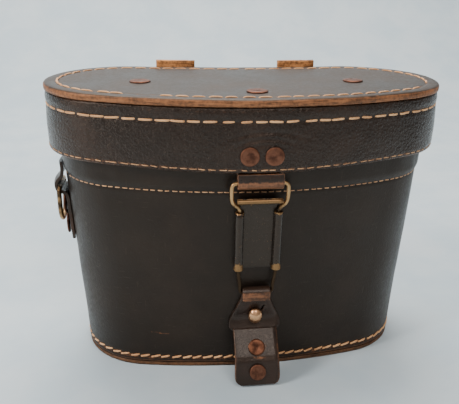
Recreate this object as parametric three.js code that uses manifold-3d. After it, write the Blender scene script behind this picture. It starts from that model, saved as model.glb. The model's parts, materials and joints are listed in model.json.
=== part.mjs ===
// Hard leather case for opera glasses: a kidney-shaped tapered body, a hinged lid that fits over
// an inner throat, a wire-and-plate hasp with a button-down closing strap, and a D-ring at its left end.
// Millimetres, +Z up. The case stands on z = 0, its front faces -Y and x = 0 is its middle.
import * as THREE from 'three';
import { mergeVertices } from 'three/addons/utils/BufferGeometryUtils.js';
import Module from 'manifold-3d';

const wasm = await Module();
wasm.setup();

// ---------------------------------------------------------------- driving sizes

const clearance = 0.3; // between two pieces that touch

const caseHeight = 134; // table to the top of the lid
const lidDepth = 30; // top of the lid to its lower edge
const lobeSpacing = 109; // between the centres of the lid's two round ends
const lobeRadius = 38.5; // of the lid's round ends, outside
const frontBulge = 12; // how far the lid's front stands out past its round ends
const rearWaist = 4; // how far the lid's back is drawn in between them
const spacingTaper = 17; // what the base loses of each of those four sizes
const radiusTaper = -1;
const bulgeTaper = 7.5;
const waistTaper = 1;
const overhang = 5.5; // the lid's outside past the body's outside

const wallThickness = 3;
const bandThickness = 2.8;
const topThickness = 3.3;
const topLip = 0.6; // how far the lid's top stands out over its band
const flangeReach = 11; // the band's turned-in flange, from the band's outside
const soleThickness = 2.2;
const soleRimHeight = 8;
const soleRimThickness = 2.2;
const padThickness = 4;
const liningThickness = 1;
const throatThickness = 2.2;
const throatRise = 14; // above the lid's lower edge
const throatReach = 16; // below it
const wallRise = 2; // the body wall's top above the lid's lower edge
const lidPadThickness = 5;
const lidPadMargin = 1.3; // pad's edge inside the flange's edge

const rivetShank = 1.25;
const rivetHeadHeight = 0.9;
const burrRadius = 2.8;
const burrHeight = 0.7;

const topRivetHead = 4.8;
const topRivetSpread = 50; // of the two outer top rivets from the middle
const topRivetSetback = -8; // their y
const middleRivetSetback = -33; // y of the middle top rivet

const frontRivetHead = 4.2;
const frontRivetSpread = 5.3;
const frontRivetRise = 6; // above the lid's lower edge

const tabWidth = 20;
const tabThickness = 1.5;
const tabRise = 10; // the lid tab's top above the lid's lower edge
const barDrop = 6.5; // the hasp's upper bar below the lid's lower edge
const wireRadius = 0.9;
const frameUpperHalf = 12.3; // half widths of the hasp's wire frame, along the wire
const frameLowerHalf = 8.6;
const frameFootHalf = 7.5;
const frameUpperDepth = 9; // the wide part of the frame, down from the upper bar
const frameCorner = 2;
const strapBarHeight = 43; // the hasp's lower bar above the table

const tubeRadius = 2.1;
const tubeTop = 13.5; // the side tubes below the upper bar
const tubeFoot = 12.5; // and above the lower bar
const plateThickness = 1;
const rollRadius = 1.3;
const rollHalf = 10;
const rollDrop = 8; // the plate's rolled top edge below the upper bar

const strapThickness = 1.8;
const strapNeck = 12.6; // width of the closing strap where it folds round the lower bar
const strapWaist = 13.5; // its width just below the fold
const strapWidth = 24; // its width at the foot of its bell
const bellLength = 20; // from the lower bar to where the strap turns outward
const tailWidth = 18;
const tabFaceWidth = 20.5; // the pull tab
const tabFaceThickness = 2.2;
const pullUpperLength = 14.5;
const pullLowerLength = 12.1;
const pullUpperSlope = 48; // degrees below level
const pullLowerSlope = 76;
const pullRivetHead = 3.9;

const studHeight = 31.5; // above the table
const studNeck = 1.7;
const studHead = 3.3;
const studLength = 7; // from the wall to the tip of the stud's head
const studWasher = 5;

const chapeWidth = 15;
const chapeThickness = 1.6;
const chapeTop = 8; // below the lid's lower edge
const chapeLength = 39;
const ringWire = 1.1;
const ringHalf = 10;
const ringHeight = 17.5;
const ringBarDrop = 20; // the ring's bar below the lid's lower edge
const ringCorner = 2;
const chapeRivetHead = 3.1;
const chapeRivetDrops = [32, 42.5]; // below the lid's lower edge
const chapeBurrRoom = 0.5; // extra depth for a flat burr inside the curved wall
const bothSides = [['left', -1], ['right', 1]];
const ringSides = [['left', -1]]; // the ends of the case that carry a strap ring

const hingeSpread = 32; // of each hinge strap's middle from the case's middle
const hingeWidth = 20;
const hingeThickness = 2.2;
const hingeRise = 3; // above the top of the lid
const hingeReach = 36; // below the lid's lower edge
const hingeUpperGap = 0.4; // where the strap bends: cut short above and below the bend
const hingeLowerGap = 3;
const hingeBow = 10; // length over which the strap leaves the body to reach the lid
const hingeRivetHead = 3.8;
const hingeRivetDrops = [22, 30];
const hingeUpperRivetRise = 13;

// ---------------------------------------------------------------- worked-out sizes

const lidEdge = caseHeight - lidDepth;
const topSeat = caseHeight - topThickness;
const bandTop = topSeat - clearance;
const upperBarZ = lidEdge - barDrop;
const wallInset = wallThickness + clearance;
const lidLiningBottom = bandTop - liningThickness;
const lidPadTop = lidLiningBottom - clearance;
const lidPadBottom = lidPadTop - lidPadThickness;
const throatBottom = lidEdge - throatReach;
const ringBarZ = lidEdge - ringBarDrop;

const leather = (color, roughness) => new THREE.MeshStandardMaterial({ color, roughness, metalness: 0 });
const metal = (color, roughness) => new THREE.MeshStandardMaterial({ color, roughness, metalness: 1 });
const blackLeather = leather(0x17110f, 0.42);
const tanLeather = leather(0x9a5a2c, 0.6);
const suede = leather(0x5a4432, 0.9);
const felt = leather(0x4a1f1c, 1);
const copper = metal(0x9a5a3c, 0.4);
const brass = metal(0xa8864e, 0.35);
const blackPaint = new THREE.MeshStandardMaterial({ color: 0x16130f, roughness: 0.4, metalness: 0.3 });

// ---------------------------------------------------------------- solids

function toSolid(geometry, matrix) {
  const bare = geometry.clone();
  bare.deleteAttribute('normal');
  bare.deleteAttribute('uv');
  if (matrix) {
    bare.applyMatrix4(matrix);
  }
  const merged = mergeVertices(bare, 1e-4);
  const vertProperties = new Float32Array(merged.attributes.position.array);
  const triVerts = new Uint32Array(merged.index.array);
  return new wasm.Manifold(new wasm.Mesh({ numProp: 3, vertProperties, triVerts }));
}

function toGeometry(solid) {
  const { vertProperties, triVerts } = solid.getMesh();
  const geometry = new THREE.BufferGeometry();
  geometry.setAttribute('position', new THREE.BufferAttribute(new Float32Array(vertProperties), 3));
  geometry.setIndex(new THREE.BufferAttribute(new Uint32Array(triVerts), 1));
  geometry.computeVertexNormals();
  return geometry;
}

function piece(name, shape, material) {
  const geometry = shape.isBufferGeometry ? shape : toGeometry(shape);
  const mesh = new THREE.Mesh(geometry, material);
  mesh.name = name;
  return mesh;
}

const move = (x, y, z) => new THREE.Matrix4().makeTranslation(x, y, z);

// A box from its lowest corner to its highest.
function block(low, high) {
  const size = new THREE.Vector3().subVectors(high, low);
  const middle = new THREE.Vector3().addVectors(low, high).multiplyScalar(0.5);
  return toSolid(new THREE.BoxGeometry(size.x, size.y, size.z), move(middle.x, middle.y, middle.z));
}

// A profile given as [y, z] points, extruded across a width centred on x = 0.
function acrossX(points, width, holes = []) {
  const shape = new THREE.Shape(points.map(([y, z]) => new THREE.Vector2(y, z)));
  shape.holes = holes;
  const geometry = new THREE.ExtrudeGeometry(shape, { depth: width, bevelEnabled: false, curveSegments: 10 });
  const turn = new THREE.Matrix4().set(0, 0, 1, -width / 2, 1, 0, 0, 0, 0, 1, 0, 0, 0, 0, 0, 1);
  return toSolid(geometry, turn);
}

// ---------------------------------------------------------------- the kidney outline

// The outline at a height: the lid's own at and above the lid's lower edge, tapering to the base.
function lidOutline(inset) {
  return { spacing: lobeSpacing, radius: lobeRadius - inset, bulge: frontBulge, waist: rearWaist };
}

function bodyOutline(z, inset) {
  const drop = (lidEdge - z) / lidEdge;
  return {
    spacing: lobeSpacing - spacingTaper * drop,
    radius: lobeRadius - overhang - radiusTaper * drop - inset,
    bulge: frontBulge - bulgeTaper * drop,
    waist: rearWaist - waistTaper * drop,
  };
}

// Two round ends joined by a convex front arc and a concave back arc, tangent to both.
function arcsOf({ spacing, radius, bulge, waist }) {
  const half = spacing / 2;
  const frontCentre = (half * half - bulge * bulge) / (2 * bulge);
  const frontRadius = frontCentre + radius + bulge;
  const backCentre = (half * half - waist * waist) / (2 * waist);
  const backRadius = backCentre - radius + waist;
  return { half, radius, frontCentre, frontRadius, backCentre, backRadius };
}

function kidneyRing(outline) {
  const a = arcsOf(outline);
  const front = Math.atan2(-a.frontCentre, a.half);
  const back = Math.atan2(a.backCentre, -a.half);
  const arc = (x, y, radius, start, end, clockwise, steps) =>
    new THREE.EllipseCurve(x, y, radius, radius, start, end, clockwise).getPoints(steps).slice(0, -1);
  return [
    ...arc(0, a.frontCentre, a.frontRadius, Math.PI - front, front + 2 * Math.PI, false, 18),
    ...arc(a.half, 0, a.radius, front, back, false, 12),
    ...arc(0, a.backCentre, a.backRadius, back - Math.PI, -back, true, 8),
    ...arc(-a.half, 0, a.radius, Math.PI - back, Math.PI - front, false, 12),
  ];
}

const frontY = (outline, x = 0) => {
  const a = arcsOf(outline);
  return a.frontCentre - Math.sqrt(a.frontRadius ** 2 - x ** 2);
};
const backY = (outline, x = 0) => {
  const a = arcsOf(outline);
  return a.backCentre - Math.sqrt(a.backRadius ** 2 - x ** 2);
};
const bodyFront = (z) => frontY(bodyOutline(z, 0));
const bodySide = (z) => bodyOutline(z, 0).spacing / 2 + bodyOutline(z, 0).radius;

// The body's ring at a height lies on straight lines from its base ring to its ring at the lid.
function bodyRing(z, inset) {
  const foot = kidneyRing(bodyOutline(0, inset));
  const brim = kidneyRing(bodyOutline(lidEdge, inset));
  return foot.map((point, i) => point.clone().lerp(brim[i], z / lidEdge));
}

// A closed solid between two rings with the same number of points.
function loft(lower, lowerZ, upper, upperZ) {
  const count = lower.length;
  const positions = [];
  lower.forEach((p) => positions.push(p.x, p.y, lowerZ));
  upper.forEach((p) => positions.push(p.x, p.y, upperZ));
  const index = [];
  for (let i = 0; i < count; i += 1) {
    const next = (i + 1) % count;
    index.push(i, next, count + next, i, count + next, count + i);
  }
  THREE.ShapeUtils.triangulateShape(lower, []).forEach(([a, b, c]) => index.push(a, c, b));
  THREE.ShapeUtils.triangulateShape(upper, []).forEach(([a, b, c]) => index.push(count + a, count + b, count + c));
  const geometry = new THREE.BufferGeometry();
  geometry.setAttribute('position', new THREE.Float32BufferAttribute(positions, 3));
  geometry.setIndex(index);
  return toSolid(geometry);
}

const bodySlab = (inset, low, high) => loft(bodyRing(low, inset), low, bodyRing(high, inset), high);
function lidSlab(inset, low, high) {
  const ring = kidneyRing(lidOutline(inset));
  return loft(ring, low, ring, high);
}

// A ring of the body's or the lid's outline, with straight-through inside.
function ringOf(slab, inset, thickness, low, high) {
  return slab(inset, low, high).subtract(slab(inset + thickness, low - 1, high + 1));
}

// ---------------------------------------------------------------- rivets

// A rivet lies along its own +Z: its head above z = 0, its shank and burr below. The matrix puts
// z = 0 on the outer face of the layers it holds, and the grip is their thickness in all.
function rivetShape({ head, grip }) {
  const rise = clearance + rivetHeadHeight;
  const sink = -grip - clearance;
  const crown = rivetHeadHeight / 3;
  const profile = [
    [0, sink - burrHeight],
    [burrRadius, sink - burrHeight],
    [burrRadius, sink],
    [rivetShank, sink],
    [rivetShank, clearance],
    [head, clearance],
    [head, rise - crown],
    [head - crown, rise],
    [0, rise],
  ].map(([r, z]) => new THREE.Vector2(r, z));
  const geometry = new THREE.LatheGeometry(profile, 14);
  geometry.rotateX(Math.PI / 2);
  return geometry;
}

function rivetPiece(name, rivet) {
  return piece(name, toSolid(rivetShape(rivet), rivet.matrix), copper);
}

// The clearance hole for a rivet's shank, or for any round post, through every layer under it.
function shankHole(matrix, radius, reach) {
  const hole = new THREE.CylinderGeometry(radius + clearance, radius + clearance, 2 * reach, 8);
  hole.rotateX(Math.PI / 2);
  return toSolid(hole, matrix);
}

function drilled(solid, rivets) {
  return rivets.reduce((rest, { matrix, grip }) => rest.subtract(shankHole(matrix, rivetShank, grip + 4)), solid);
}

// A matrix whose +Z is the given direction, at a point.
function facing(point, direction) {
  const turn = new THREE.Quaternion();
  turn.setFromUnitVectors(new THREE.Vector3(0, 0, 1), direction.clone().normalize());
  return new THREE.Matrix4().compose(point, turn, new THREE.Vector3(1, 1, 1));
}

// ---------------------------------------------------------------- where the layers lie

const wallAndLining = wallThickness + clearance + liningThickness;
const frontSlope = (bodyFront(0) - bodyFront(lidEdge)) / lidEdge;
const sideSlope = (bodySide(lidEdge) - bodySide(0)) / lidEdge;

// Lid rivets.
const topGrip = caseHeight - lidPadBottom;
const topRivets = {
  left: [-topRivetSpread, topRivetSetback],
  right: [topRivetSpread, topRivetSetback],
  middle: [0, middleRivetSetback],
};
Object.entries(topRivets).forEach(([side, [x, y]]) => {
  const matrix = move(x, y, caseHeight);
  topRivets[side] = { head: topRivetHead, grip: topGrip, matrix };
});

const lidFront = frontY(lidOutline(0));
const tabFront = frontY(lidOutline(bandThickness), tabWidth / 2) + clearance;
const tabBack = tabFront + tabThickness;
const forward = new THREE.Vector3(0, -1, 0);
const frontRivets = {};
['left', 'right'].forEach((side, i) => {
  const x = frontRivetSpread * (2 * i - 1);
  const matrix = facing(new THREE.Vector3(x, lidFront, lidEdge + frontRivetRise), forward);
  frontRivets[side] = { head: frontRivetHead, grip: tabBack - lidFront, matrix };
});

// Hinge straps: each lies flat against the back, turned to follow the outline where it is fixed.
const lidBackAtHinge = backY(lidOutline(-topLip), hingeSpread);
const hingeY = lidBackAtHinge + clearance + hingeThickness / 2;
const hingeTurn = Math.asin(hingeSpread / arcsOf(lidOutline(0)).backRadius);
const hingeFrame = (sign) => {
  const turn = new THREE.Matrix4().makeRotationZ(sign * hingeTurn);
  return move(sign * hingeSpread, 0, 0).multiply(turn);
};

function hingeRivet(sign, y, z, grip, slope) {
  const point = new THREE.Vector3(0, y, z);
  const matrix = hingeFrame(sign).multiply(facing(point, new THREE.Vector3(0, 1, -slope)));
  return { head: hingeRivetHead, grip, matrix };
}

const bodyBackAt = (z) => backY(bodyOutline(z, 0), hingeSpread);
const backSlope = (bodyBackAt(lidEdge) - bodyBackAt(0)) / lidEdge;
const lowerStrapFace = (z) => bodyBackAt(z) + clearance + hingeThickness;

// Extra depth for a flat burr inside an outline: its back may be turned a little more or less than
// the strap, and near a round end it curves round the burr.
function burrRoom(inside) {
  const turn = Math.asin(hingeSpread / arcsOf(inside).backRadius);
  const tilt = burrRadius * Math.abs(Math.tan(turn - hingeTurn));
  return tilt + burrRadius ** 2 / inside.radius;
}

const hingeRivets = { left: {}, right: {} };
bothSides.forEach(([side, sign]) => {
  const inside = lidOutline(bandThickness);
  const upperGrip = hingeY + hingeThickness / 2 - backY(inside, hingeSpread) + burrRoom(inside);
  const upperZ = lidEdge + hingeUpperRivetRise;
  hingeRivets[side].upper = hingeRivet(sign, hingeY + hingeThickness / 2, upperZ, upperGrip, 0);
  hingeRivets[side].lower = hingeRivetDrops.map((drop) => {
    const z = lidEdge - drop;
    const grip = hingeThickness + clearance + wallAndLining + burrRoom(bodyOutline(z, wallAndLining));
    return hingeRivet(sign, lowerStrapFace(z), z, grip, backSlope);
  });
});

// Side chapes: built in a frame whose x points out of the wall and whose z runs up along it.
const chapeFrame = (sign) => {
  const turn = new THREE.Matrix4().makeRotationY(Math.atan(sideSlope));
  const right = move(bodySide(ringBarZ), 0, ringBarZ).multiply(turn);
  return sign > 0 ? right : new THREE.Matrix4().makeRotationZ(Math.PI).multiply(right);
};
const ringBarOut = clearance + chapeThickness + clearance + ringWire;
const ringHole = ringWire + clearance;
const chapeRivets = {};
ringSides.forEach(([side, sign]) => {
  chapeRivets[side] = chapeRivetDrops.map((drop) => {
    const point = new THREE.Vector3(clearance + chapeThickness, 0, ringBarDrop - drop);
    const matrix = chapeFrame(sign).multiply(facing(point, new THREE.Vector3(1, 0, 0)));
    return { head: chapeRivetHead, grip: chapeThickness + clearance + wallAndLining + chapeBurrRoom, matrix };
  });
});

// The stud stands square to the front wall.
const studMatrix = facing(
  new THREE.Vector3(0, bodyFront(studHeight), studHeight),
  new THREE.Vector3(0, -1, -frontSlope),
);

const wallRivets = [
  ...ringSides.flatMap(([side]) => chapeRivets[side]),
  ...hingeRivets.left.lower,
  ...hingeRivets.right.lower,
];

function wallDrilled(solid) {
  return drilled(solid, wallRivets).subtract(shankHole(studMatrix, studNeck, 2 * wallAndLining));
}

// ---------------------------------------------------------------- body

function bodyPieces() {
  const wallBottom = soleThickness + clearance;
  const sole = bodySlab(0, 0, soleThickness);
  const rim = ringOf(bodySlab, wallInset, soleRimThickness, soleThickness / 2, soleRimHeight);
  const pad = bodySlab(wallInset + soleRimThickness + clearance, wallBottom, wallBottom + padThickness);
  const wall = ringOf(bodySlab, 0, wallThickness, wallBottom, lidEdge + wallRise);
  const liningLow = soleRimHeight + clearance;
  const lining = ringOf(bodySlab, wallInset, liningThickness, liningLow, throatBottom - clearance);
  const throat = ringOf(bodySlab, wallInset, throatThickness, throatBottom, lidEdge + throatRise);
  return [
    piece('base_plate', sole.add(rim), blackLeather),
    piece('base_pad', pad, felt),
    piece('body_wall', wallDrilled(wall), blackLeather),
    piece('body_lining', wallDrilled(lining), suede),
    piece('throat_band', throat, suede),
  ];
}

function studPieces() {
  const washerSeat = -wallAndLining - clearance;
  const washerHeight = 0.8;
  const shankEnd = washerSeat - washerHeight - 0.8;
  const bulgeAt = 0.62 * studLength;
  const head = new THREE.SplineCurve([
    new THREE.Vector2(studNeck, 0.42 * studLength),
    new THREE.Vector2(studHead, bulgeAt),
    new THREE.Vector2(0.8 * studHead, 0.84 * studLength),
    new THREE.Vector2(0.45 * studHead, 0.97 * studLength),
    new THREE.Vector2(0, studLength),
  ]).getPoints(7);
  const profile = [
    new THREE.Vector2(0, shankEnd),
    new THREE.Vector2(studNeck, shankEnd),
    ...head.slice(0, -1),
    new THREE.Vector2(0, studLength),
  ];
  const stud = new THREE.LatheGeometry(profile, 16);
  stud.rotateX(Math.PI / 2);
  const washer = new THREE.CylinderGeometry(studWasher, studWasher, washerHeight, 16);
  washer.rotateX(Math.PI / 2);
  washer.translate(0, 0, washerSeat - washerHeight / 2);
  const hole = shankHole(studMatrix, studNeck, 2 * wallAndLining);
  return [
    piece('latch_stud', toSolid(stud, studMatrix), brass),
    piece('stud_washer', toSolid(washer, studMatrix).subtract(hole), brass),
  ];
}

// A chape folds round the ring's bar: a strip down the wall with a rounded loop standing out of it.
function chapeSolid(sign) {
  const top = ringBarDrop - chapeTop;
  const bottom = top - chapeLength;
  const face = clearance + chapeThickness;
  const loop = ringHole + chapeThickness;
  const back = -chapeWidth; // into the wall, cut to follow it below
  const shape = new THREE.Shape();
  shape.moveTo(back, bottom);
  shape.lineTo(face, bottom);
  shape.lineTo(face, -1.5 * loop);
  shape.quadraticCurveTo(face, -loop, ringBarOut, -loop);
  shape.absarc(ringBarOut, 0, loop, -Math.PI / 2, Math.PI / 6, false);
  shape.lineTo(face, top);
  shape.lineTo(back, top);
  shape.closePath();
  const hole = new THREE.Path();
  hole.absarc(ringBarOut, 0, ringHole, 0, 2 * Math.PI, true);
  shape.holes = [hole];
  const geometry = new THREE.ExtrudeGeometry(shape, { depth: chapeWidth, bevelEnabled: false, curveSegments: 8 });
  geometry.rotateX(Math.PI / 2);
  geometry.translate(0, chapeWidth / 2, 0);
  const wallSide = bodySlab(-clearance, 0, lidEdge);
  return toSolid(geometry, chapeFrame(sign)).subtract(wallSide);
}

function chapePieces() {
  return ringSides.flatMap(([side, sign]) => [
    piece(`side_chape_${side}`, drilled(chapeSolid(sign), chapeRivets[side]), blackLeather),
    rivetPiece(`side_rivet_${side}_upper`, chapeRivets[side][0]),
    rivetPiece(`side_rivet_${side}_lower`, chapeRivets[side][1]),
  ]);
}

// The lower half of a hinge strap: flat down the body's back, bowed out at its top to meet the lid.
function lowerHingeSolid(sign) {
  const bottom = lidEdge - hingeReach;
  const bowStart = lidEdge - hingeLowerGap - hingeBow;
  const top = lidEdge - hingeLowerGap;
  const steps = 6;
  const outer = [];
  for (let i = 0; i <= steps; i += 1) {
    const t = i / steps;
    const ease = t * t * (3 - 2 * t);
    const z = bowStart + t * hingeBow;
    outer.push([THREE.MathUtils.lerp(lowerStrapFace(z), hingeY + hingeThickness / 2, ease), z]);
  }
  const inner = outer.map(([y, z]) => [y - hingeThickness, z]).reverse();
  const foot = [
    [lowerStrapFace(bottom) - hingeThickness, bottom],
    [lowerStrapFace(bottom), bottom],
  ];
  const strap = acrossX([...foot, ...outer.slice(0, -1), [hingeY + hingeThickness / 2, top], ...inner], hingeWidth);
  return strap.transform(hingeFrame(sign).elements).subtract(bodySlab(-clearance, 0, lidEdge));
}

function lowerHingePieces() {
  return bothSides.flatMap(([side, sign]) => {
    const rivets = hingeRivets[side].lower;
    return [
      piece(`hinge_strap_lower_${side}`, drilled(lowerHingeSolid(sign), rivets), blackLeather),
      rivetPiece(`hinge_rivet_${side}_middle`, rivets[0]),
      rivetPiece(`hinge_rivet_${side}_lower`, rivets[1]),
    ];
  });
}

// ---------------------------------------------------------------- lid

function lidPieces() {
  const holes = Object.values(topRivets);
  const top = drilled(lidSlab(-topLip, topSeat, caseHeight), holes);
  const fixings = [...Object.values(frontRivets), hingeRivets.left.upper, hingeRivets.right.upper];
  const hollow = lidSlab(bandThickness, lidEdge - 1, bandTop - bandThickness);
  const window = lidSlab(flangeReach, lidEdge, caseHeight);
  const band = drilled(lidSlab(0, lidEdge, bandTop).subtract(hollow).subtract(window), fixings);
  const lining = drilled(lidSlab(flangeReach + clearance, lidLiningBottom, bandTop), holes);
  const pad = drilled(lidSlab(flangeReach + lidPadMargin, lidPadBottom, lidPadTop), holes);
  return [
    piece('lid_top', top, blackLeather),
    piece('lid_band', band, blackLeather),
    piece('lid_lining', lining, suede),
    piece('lid_pad', pad, felt),
    ...Object.entries(topRivets).map(([side, rivet]) => rivetPiece(`lid_top_rivet_${side}`, rivet)),
    ...Object.entries(frontRivets).map(([side, rivet]) => rivetPiece(`lid_front_rivet_${side}`, rivet)),
  ];
}

// The hasp hangs in a plane that leans with the front wall, from the bar in the lid tab's fold.
const upperBarY = tabFront - clearance - wireRadius;
const strapFace = (z) => bodyFront(z) - clearance - strapThickness;
const lowerBarY = strapFace(strapBarHeight) - clearance - wireRadius;
const haspLength = Math.hypot(upperBarZ - strapBarHeight, lowerBarY - upperBarY);
const haspLean = Math.atan2(lowerBarY - upperBarY, upperBarZ - strapBarHeight);
const haspFrame = move(0, upperBarY, upperBarZ).multiply(new THREE.Matrix4().makeRotationX(haspLean));

// The tab: fixed inside the lid, it comes down past the lid's edge and folds forward round the bar.
function tabPiece() {
  const inside = wireRadius + clearance;
  const outside = inside + tabThickness;
  const frontTop = lidEdge - clearance;
  const shape = new THREE.Shape();
  shape.moveTo(tabFront, lidEdge + tabRise);
  shape.lineTo(tabFront, frontTop);
  shape.lineTo(upperBarY - outside, frontTop);
  shape.lineTo(upperBarY - outside, upperBarZ);
  shape.absarc(upperBarY, upperBarZ, outside, Math.PI, 2 * Math.PI, false);
  shape.lineTo(tabBack, lidEdge + tabRise);
  shape.closePath();
  const hole = new THREE.Path();
  hole.absarc(upperBarY, upperBarZ, inside, 0, 2 * Math.PI, true);
  const solid = acrossX(shape.getPoints(8).map((p) => [p.x, p.y]), tabWidth, [hole]);
  return piece('lid_tab', drilled(solid, Object.values(frontRivets)), blackLeather);
}

function upperHingePieces() {
  return bothSides.flatMap(([side, sign]) => {
    const low = new THREE.Vector3(-hingeWidth / 2, hingeY - hingeThickness / 2, lidEdge + hingeUpperGap);
    const high = new THREE.Vector3(hingeWidth / 2, hingeY + hingeThickness / 2, caseHeight + hingeRise);
    const strap = block(low, high).transform(hingeFrame(sign).elements);
    const trimmed = strap.subtract(lidSlab(-topLip - clearance, 0, caseHeight + 1));
    return [
      piece(`hinge_strap_upper_${side}`, drilled(trimmed, [hingeRivets[side].upper]), blackLeather),
      rivetPiece(`hinge_rivet_${side}_upper`, hingeRivets[side].upper),
    ];
  });
}

// ---------------------------------------------------------------- hasp

// A closed wire through corners given as [a, b] in a plane, each corner rounded.
function wireLoop(corners, bend, radius, toSpace, steps) {
  const path = new THREE.CurvePath();
  const points = corners.map(([a, b]) => toSpace(a, b));
  const count = points.length;
  const toward = (from, to) => {
    const reach = Math.min(bend, from.distanceTo(to) / 2);
    return from.clone().lerp(to, reach / from.distanceTo(to));
  };
  for (let i = 0; i < count; i += 1) {
    const here = points[i];
    const next = points[(i + 1) % count];
    const after = points[(i + 2) % count];
    path.add(new THREE.LineCurve3(toward(here, next), toward(next, here)));
    path.add(new THREE.QuadraticBezierCurve3(toward(next, here), next, toward(next, after)));
  }
  return new THREE.TubeGeometry(path, steps, radius, 8, true);
}

function haspPieces() {
  const waistAt = -frameUpperDepth;
  const footAt = -haspLength;
  const corners = [
    [-frameUpperHalf, 0],
    [-frameUpperHalf, waistAt],
    [-frameLowerHalf, waistAt - frameCorner],
    [-frameLowerHalf, footAt + tubeFoot - frameCorner],
    [-frameFootHalf, footAt + frameCorner * 2],
    [-frameFootHalf, footAt],
  ];
  const mirrored = corners.map(([x, z]) => [-x, z]).reverse();
  const inPlane = (x, z) => new THREE.Vector3(x, 0, z);
  const frame = wireLoop([...corners, ...mirrored], frameCorner, wireRadius, inPlane, 90);

  const tubeHigh = -tubeTop;
  const tubeLow = footAt + tubeFoot;
  const tube = new THREE.CylinderGeometry(tubeRadius, tubeRadius, tubeHigh - tubeLow, 16);
  tube.rotateX(Math.PI / 2);
  tube.translate(0, 0, (tubeHigh + tubeLow) / 2);
  const roll = new THREE.CylinderGeometry(rollRadius, rollRadius, 2 * rollHalf, 12);
  roll.rotateZ(Math.PI / 2);
  const rollY = -tubeRadius + rollRadius - plateThickness;
  const plateY = -tubeRadius + plateThickness;
  const face = block(
    new THREE.Vector3(-frameLowerHalf, plateY - plateThickness, tubeLow),
    new THREE.Vector3(frameLowerHalf, plateY, -rollDrop),
  );
  const bore = new THREE.CylinderGeometry(wireRadius + clearance, wireRadius + clearance, haspLength, 12);
  bore.rotateX(Math.PI / 2);
  let plate = face.add(toSolid(roll, move(0, rollY, -rollDrop)));
  [-frameLowerHalf, frameLowerHalf].forEach((x) => {
    plate = plate.add(toSolid(tube, move(x, 0, 0)));
    plate = plate.subtract(toSolid(bore, move(x, 0, -tubeTop - haspLength / 2 + 1)));
  });
  return [
    piece('hasp_frame', toSolid(frame, haspFrame), brass),
    piece('hasp_plate', plate.transform(haspFrame.elements), blackPaint),
  ];
}

// ---------------------------------------------------------------- closing strap

// Points of the tail's outer face, [y, z]: it leaves the wall, slopes out and then turns down.
const tailStart = strapBarHeight - bellLength;
const slopePoint = ([y, z], length, slope) => {
  const angle = THREE.MathUtils.degToRad(slope);
  return [y - length * Math.cos(angle), z - length * Math.sin(angle)];
};
const pullTop = [strapFace(tailStart) - clearance - tabFaceThickness, tailStart + 1];
const pullCrease = slopePoint(pullTop, pullUpperLength, pullUpperSlope);
const pullEnd = slopePoint(pullCrease, pullLowerLength, pullLowerSlope);

// A layer under the pull tab's outer face, from one depth to another. Its top starts the given
// lead further up the slope.
function bentLayer(from, to, width, lead = 0) {
  const upper = THREE.MathUtils.degToRad(pullUpperSlope);
  const lower = THREE.MathUtils.degToRad(pullLowerSlope);
  const middle = (upper + lower) / 2;
  const mitre = 1 / Math.cos((lower - upper) / 2);
  const inward = ([y, z], angle, depth) => [y + depth * Math.sin(angle), z - depth * Math.cos(angle)];
  const start = slopePoint(pullTop, -lead, pullUpperSlope);
  return acrossX(
    [
      inward(start, upper, from),
      inward(pullCrease, middle, from * mitre),
      inward(pullEnd, lower, from),
      inward(pullEnd, lower, to),
      inward(pullCrease, middle, to * mitre),
      inward(start, upper, to),
    ],
    width,
  );
}

function pullRivet(from, to, share, slope) {
  const y = THREE.MathUtils.lerp(from[0], to[0], share);
  const z = THREE.MathUtils.lerp(from[1], to[1], share);
  const angle = THREE.MathUtils.degToRad(slope);
  const out = new THREE.Vector3(0, -Math.sin(angle), Math.cos(angle));
  const grip = tabFaceThickness + clearance + strapThickness;
  return { head: pullRivetHead, grip, matrix: facing(new THREE.Vector3(0, y, z), out) };
}

function bellSolid() {
  const half = strapWidth / 2;
  const shape = new THREE.Shape();
  shape.moveTo(-strapWaist / 2, 0);
  shape.bezierCurveTo(-strapWaist / 2, -bellLength * 0.4, -half, -bellLength * 0.6, -half, -bellLength * 0.85);
  shape.lineTo(-tailWidth / 2, -bellLength - 1);
  shape.lineTo(tailWidth / 2, -bellLength - 1);
  shape.lineTo(half, -bellLength * 0.85);
  shape.bezierCurveTo(half, -bellLength * 0.6, strapWaist / 2, -bellLength * 0.4, strapWaist / 2, 0);
  shape.closePath();
  const geometry = new THREE.ExtrudeGeometry(shape, { depth: strapThickness, bevelEnabled: false, curveSegments: 8 });
  geometry.rotateX(Math.PI / 2);
  geometry.translate(0, strapThickness, 0);
  return geometry;
}

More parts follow.
